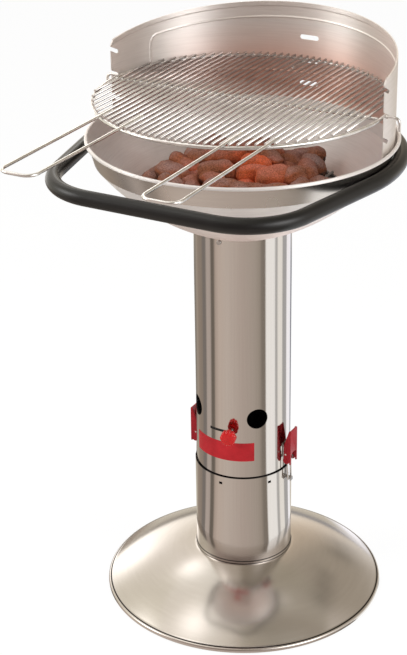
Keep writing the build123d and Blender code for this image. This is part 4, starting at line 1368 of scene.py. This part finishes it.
class GRILL_OT_latches(Operator):
    """Round the latch levers and bend their bails"""
    bl_idname = "grill.latches"
    bl_label = "Latches"

    def execute(self, context):
        s = settings(context).grid
        for side, name in ((1, "right"), (-1, "left")):
            lever = softened("Latch_Lever_" + name, "latch_lever_" + name, s.lever_edge,
                             finish_of(context, "Crimson Moulding"))
            seat(lever, "latch_" + name, "red_plastic", "latch_lever_" + name)
            pivot = JOINT_PLACE["bail_" + name + "_swing"]
            low_z = BAIL_LOW.z + s.bail_d / 2
            low_x = side * (BAIL_TOP.x - s.bail_d / 2)
            half = [(pivot.x, s.bail_end, pivot.z), (pivot.x, s.bail_half, pivot.z)]
            half.append((low_x, s.bail_half, low_z))
            points = half + [(x, -y, z) for x, y, z in reversed(half)]
            line = rounded(points, 0.8 * s.bail_d, 10)
            bail = wired(context, "Latch_Bail_" + name, line, s.bail_d, WIRE_SIDES, "Chrome Wire")
            seat(bail, "bail_" + name, "chrome_wire", "latch_bail_" + name)
            paint(finish_of(context, "Fastener Steel"), "latch_bracket_" + name, "pot_catch_" + name)
        return {"FINISHED"}


def softened(name, node, width, material):
    """A copy of a node with its sharp edges rounded."""
    mesh = frame["nodes"][node].data.copy()
    shape = bmesh.new()
    shape.from_mesh(mesh)
    bmesh.ops.remove_doubles(shape, verts=shape.verts, dist=2 * MERGE_GAP)
    bmesh.ops.dissolve_limit(shape, angle_limit=math.radians(1), verts=shape.verts, edges=shape.edges)
    shape.to_mesh(mesh)
    shape.free()
    mesh.materials.clear()
    mesh.materials.append(material)
    piece = bpy.data.objects.new(name, mesh)
    bpy.context.scene.collection.objects.link(piece)
    bevel = piece.modifiers.new("Soft", "BEVEL")
    bevel.width = width
    bevel.segments = 3
    bevel.limit_method = "ANGLE"
    bevel.angle_limit = math.radians(35)
    bpy.context.view_layer.update()
    piece.data = evaluated_mesh(piece)
    piece.modifiers.clear()
    smooth(piece.data)
    return piece


class GRILL_OT_fasteners(Operator):
    """Finish the screws, bolts, nuts, rivets and pins"""
    bl_idname = "grill.fasteners"
    bl_label = "Fasteners"

    def execute(self, context):
        steel = finish_of(context, "Fastener Steel")
        paint(steel, "foot_bolts", "foot_nuts", "neck_screws", "neck_nuts", "handle_bolts", "latch_rivets")
        paint(finish_of(context, "Crimson Moulding"), "latch_pins")
        return {"FINISHED"}


# Studio

SENSOR_WIDTH = 36.0
WHITE = (1.0, 1.0, 1.0, 1.0)
FILL_COLOUR = (1.0, 0.985, 0.97, 1.0)
FLOOR_COLOUR = (0.86, 0.86, 0.86, 1.0)
FLOOR_GLOW = 1.04
FLOOR_WHITE = 0.88
FLOOR_DROP = 0.0005
# Lamps: name, width, place, and the point that all of them look at
KEY_LAMP = ("Key", 1.6, (-1.6, -1.9, 2.6))
SIDE_LAMP = ("Side", 1.0, (2.2, -0.2, 1.8))
LAMP_AIM = Vector((0.0, 0.0, 0.6))
# Cards: angle from the camera in degrees, and the tone there; far and near floor by distance and angle
CARD_STEPS = 360
CARD_RISE = 0.001
NEAR_FLOOR = (0.66, 0.60, 0.50)
NEAR_REACH, NEAR_TURN = (0.60, 0.35), (132, 144)
FAR_FLOOR = (0.92, 0.86, 0.76)
FAR_REACH, FAR_TURN = (1.45, 1.65), (152, 164)
FLOOR_BANDS = (
    (-180, 0.30, 0.27, 0.24), (-150, 0.28, 0.25, 0.21), (-138, 0.48, 0.41, 0.34), (-128, 0.40, 0.33, 0.27),
    (-112, 0.37, 0.31, 0.26), (-106, 0.28, 0.25, 0.23), (-97, 0.28, 0.25, 0.23), (-93, 0.62, 0.54, 0.49),
    (-82, 0.62, 0.54, 0.49), (-78, 0.22, 0.19, 0.16), (-71, 0.22, 0.19, 0.16), (-67, 0.60, 0.50, 0.43),
    (-58, 0.74, 0.63, 0.55), (-38, 0.74, 0.65, 0.58), (0, 0.62, 0.53, 0.47), (25, 0.56, 0.49, 0.43),
    (38, 0.48, 0.42, 0.36), (44, 0.32, 0.28, 0.24), (52, 0.30, 0.26, 0.22), (55, 1.28, 1.28, 1.26),
    (78, 1.26, 1.26, 1.25), (81, 0.64, 0.64, 0.63), (86, 0.64, 0.64, 0.63), (89, 1.18, 1.16, 1.11),
    (103, 1.18, 1.16, 1.11), (106, 0.56, 0.56, 0.56), (121, 0.56, 0.56, 0.57), (125, 1.34, 1.34, 1.40),
    (146, 1.20, 1.20, 1.28), (152, 0.26, 0.27, 0.31), (180, 0.28, 0.27, 0.28),
)
WALL_BANDS = (
    (-180, 0.90, 0.82, 0.70), (-165, 1.00, 0.91, 0.78), (-150, 1.08, 1.00, 0.90), (-125, 0.96, 0.90, 0.77),
    (-100, 1.00, 0.94, 0.80), (-60, 0.60, 0.50, 0.45), (-20, 0.35, 0.28, 0.25), (20, 0.35, 0.29, 0.26),
    (50, 0.90, 0.84, 0.79), (90, 0.80, 0.73, 0.65), (115, 0.50, 0.44, 0.36), (150, 0.48, 0.42, 0.34),
    (165, 0.80, 0.67, 0.52), (180, 0.90, 0.82, 0.70),
)
CEILING_BANDS = (
    (-180, 0.80, 0.74, 0.63), (-150, 1.15, 1.10, 1.00), (-110, 1.04, 0.97, 0.86), (-60, 1.00, 0.93, 0.83),
    (-25, 0.92, 0.85, 0.75), (0, 0.57, 0.51, 0.42), (50, 0.40, 0.36, 0.29), (88, 0.42, 0.37, 0.30),
    (104, 0.52, 0.47, 0.39), (122, 0.50, 0.45, 0.37), (150, 0.46, 0.41, 0.32), (180, 0.80, 0.74, 0.63),
)
# Soft lamps and shades on the cards: angle, distance, height, size, and what they add or take away
SOFT_LAMPS = (
    (-147, 2.35, 2.75, 0.36, 1.30), (-145, 2.40, 0.60, 0.42, 1.10), (-85, 1.30, 3.00, 0.52, 1.00),
    (118, 2.40, 2.95, 0.34, -0.42), (128, 2.40, 2.50, 0.30, -0.42), (136, 2.40, 2.05, 0.24, -0.34),
    (147, 2.40, 0.90, 0.22, -0.36), (153, 2.40, 0.48, 0.20, -0.36), (120, 1.10, 3.00, 0.25, 0.22),
    (-173, 2.40, 2.00, 0.30, 3.50), (122, 2.40, 0.20, 0.50, 0.75), (150, 2.40, 0.10, 0.50, 0.40),
    (178, 2.40, 0.10, 0.50, 0.50), (-155, 2.40, 0.10, 0.50, 0.90), (46, 2.40, 1.80, 0.80, 5.00),
    (-86, 2.40, 1.80, 0.62, 4.80),
)


def light_path_white(tree):
    """One for a ray from the camera, a mirror or glass, otherwise nought."""
    path = tree.nodes.new("ShaderNodeLightPath").outputs
    seen = calc(tree, "ADD", path["Is Camera Ray"], path["Is Glossy Ray"])
    return calc(tree, "MINIMUM", calc(tree, "ADD", seen, path["Is Transmission Ray"]), 1.0)


class GRILL_OT_stage(Operator):
    """Set the camera, the pale floor, the cards and the lamps"""
    bl_idname = "grill.stage"
    bl_label = "Stage"

    def execute(self, context):
        s = settings(context).studio
        set_camera(context, s)
        set_world(context, s)
        set_floor(s)
        set_cards(s)
        set_lamps(context, s)
        context.scene.view_settings.view_transform = "Standard"
        return {"FINISHED"}


def set_camera(context, s):
    """The photograph's camera."""
    lens = bpy.data.cameras.new("Camera")
    lens.lens = s.focal
    lens.sensor_width = SENSOR_WIDTH
    camera = bpy.data.objects.new("Camera", lens)
    context.scene.collection.objects.link(camera)
    turned = Matrix.Rotation(s.camera_turn, 3, "Z")
    forward = turned @ Vector((math.sin(s.camera_yaw) * math.cos(s.camera_pitch),
                               math.cos(s.camera_yaw) * math.cos(s.camera_pitch), -math.sin(s.camera_pitch)))
    level = turned @ Vector((math.cos(s.camera_yaw), -math.sin(s.camera_yaw), 0.0))
    upright = level.cross(forward)
    right = level * math.cos(s.camera_roll) + upright * math.sin(s.camera_roll)
    up = upright * math.cos(s.camera_roll) - level * math.sin(s.camera_roll)
    camera.matrix_world = Matrix.Translation(polar(s.camera_distance, s.camera_turn, s.camera_height)) @ \
        Matrix((right, up, -forward)).transposed().to_4x4()
    context.scene.camera = camera


def set_world(context, s):
    """White where it is seen, and a soft warm fill for the rest."""
    world = bpy.data.worlds.new("Studio")
    tree = bare_tree(world)
    white = add(tree, "ShaderNodeBackground", {"Color": WHITE, "Strength": 1.0}).outputs[0]
    fill = add(tree, "ShaderNodeBackground", {"Color": FILL_COLOUR, "Strength": s.fill}).outputs[0]
    both = add(tree, "ShaderNodeMixShader", {0: light_path_white(tree), 1: fill, 2: white})
    add(tree, "ShaderNodeOutputWorld", {"Surface": both.outputs[0]})
    context.scene.world = world


def bare_tree(owner):
    """The empty node tree of a new world or material."""
    owner.use_nodes = True
    owner.node_tree.nodes.clear()
    return owner.node_tree


def set_floor(s):
    """A floor that looks white and keeps the grill's shadow."""
    material = bpy.data.materials.new("Pale Floor")
    tree = bare_tree(material)
    plain = add(tree, "ShaderNodeBsdfDiffuse", {"Color": FLOOR_COLOUR}).outputs[0]
    white = add(tree, "ShaderNodeEmission", {"Color": WHITE, "Strength": FLOOR_GLOW}).outputs[0]
    share = calc(tree, "MULTIPLY", light_path_white(tree), FLOOR_WHITE)
    both = add(tree, "ShaderNodeMixShader", {0: share, 1: plain, 2: white})
    add(tree, "ShaderNodeOutputMaterial", {"Surface": both.outputs[0]})

    def build(shape):
        bmesh.ops.create_circle(shape, cap_ends=True, radius=s.floor_r, segments=96)

    floor = mesh_piece("Floor", build, material)
    floor.location.z = -FLOOR_DROP


def set_cards(s):
    """Beige and white cards round the grill, seen in the steel alone."""
    material = bpy.data.materials.new("Studio Card")
    tree = bare_tree(material)
    tone = add(tree, "ShaderNodeAttribute", attribute_name="tone").outputs["Color"]
    glow = add(tree, "ShaderNodeEmission", {"Color": tone, "Strength": 1.0})
    add(tree, "ShaderNodeOutputMaterial", {"Surface": glow.outputs[0]})
    profile = [(radius, CARD_RISE) for radius in spread([FOOT_TOP.x - 0.01, s.tent_r], (0.1,))]
    profile += [(s.tent_r, z) for z in spread([0.02, s.tent_height], (0.12,))]
    profile += [(radius, s.tent_height) for radius in spread([s.tent_r, 0.02], (0.12,))[1:]]
    turns = [s.camera_turn + 2 * math.pi * k / CARD_STEPS for k in range(CARD_STEPS)]

    def build(shape):
        skin(shape, [[shape.verts.new(polar(radius, turn, z)) for turn in turns] for radius, z in profile],
             capped=False)

    cards = mesh_piece("Cards", build, material)
    layer = cards.data.attributes.new("tone", "FLOAT_COLOR", "POINT")
    for vertex, entry in zip(cards.data.vertices, layer.data):
        entry.color = (*card_tone(vertex.co, s), 1.0)
    for kind in ("camera", "diffuse", "transmission", "volume_scatter", "shadow"):
        setattr(cards, "visible_" + kind, False)


def card_tone(place, s):
    """Tone of the cards at a place: bands by the angle from the camera, and soft lamps above the floor."""
    turn = math.degrees(math.atan2(place.x, -place.y) - s.camera_turn)
    turn = (turn + 180) % 360 - 180
    if place.z < 2 * CARD_RISE:
        away = place.xy.length
        near = ramp(away, *NEAR_REACH) * ramp(abs(turn), *NEAR_TURN)
        far = ramp(away, *FAR_REACH) * ramp(abs(turn), *FAR_TURN)
        return blend(blend(band_tone(FLOOR_BANDS, turn), NEAR_FLOOR, near), FAR_FLOOR, far)
    tone = band_tone(WALL_BANDS if place.z < s.tent_height - CARD_RISE else CEILING_BANDS, turn)
    for degrees, radius, z, size, gain in SOFT_LAMPS:
        centre = polar(radius, math.radians(degrees) + s.camera_turn, z)
        share = math.exp(-((place - centre).length / size)**2)
        tone = [part * (1 + gain * share) if gain < 0 else part + gain * share for part in tone]
    return tone


def band_tone(bands, turn):
    """Tone between the two bands on either side of an angle in degrees."""
    for (low, *tone), (high, *after) in zip(bands, bands[1:]):
        if low <= turn <= high:
            return blend(tone, after, (turn - low) / (high - low))
    return bands[-1][1:]


def set_lamps(context, s):
    """A large soft key from the upper left of the camera and a narrower lamp from the right."""
    for power, (name, size, place) in ((s.key, KEY_LAMP), (s.rim, SIDE_LAMP)):
        light = bpy.data.lights.new(name, "AREA")
        light.energy = power
        light.size = size
        lamp = bpy.data.objects.new(name, light)
        lamp.location = place
        lamp.rotation_euler = (LAMP_AIM - Vector(place)).to_track_quat("-Z", "Y").to_euler()
        lamp.visible_glossy = False
        context.scene.collection.objects.link(lamp)


class GRILL_PT_panel(Panel):
    """Lists the pieces of the grill"""
    bl_idname = "GRILL_PT_panel"
    bl_label = "Charcoal Grill"
    bl_space_type = "VIEW_3D"
    bl_region_type = "UI"
    bl_category = "Grill"

    def draw(self, context):
        for operator in OPERATORS:
            self.layout.operator(operator.bl_idname)


OPERATORS = (
    GRILL_OT_foot, GRILL_OT_ash_pot, GRILL_OT_column, GRILL_OT_red_plate, GRILL_OT_bowl, GRILL_OT_handle_bar,
    GRILL_OT_windscreen, GRILL_OT_cooking_grid, GRILL_OT_coal_grate, GRILL_OT_charcoal, GRILL_OT_regulator,
    GRILL_OT_latches, GRILL_OT_fasteners, GRILL_OT_stage,
)
CLASSES = (StandSizes, BowlSizes, GridSizes, Finishes, StudioSettings, GrillSettings, *OPERATORS,
           GRILL_PT_panel)


def register():
    for made in CLASSES:
        bpy.utils.register_class(made)
    bpy.types.Scene.grill = PointerProperty(type=GrillSettings)


def unregister():
    del bpy.types.Scene.grill
    for made in reversed(CLASSES):
        bpy.utils.unregister_class(made)


def main():
    register()
    for operator in OPERATORS:
        section, name = operator.bl_idname.split(".")
        getattr(getattr(bpy.ops, section), name)()


if __name__ == "__main__":
    main()
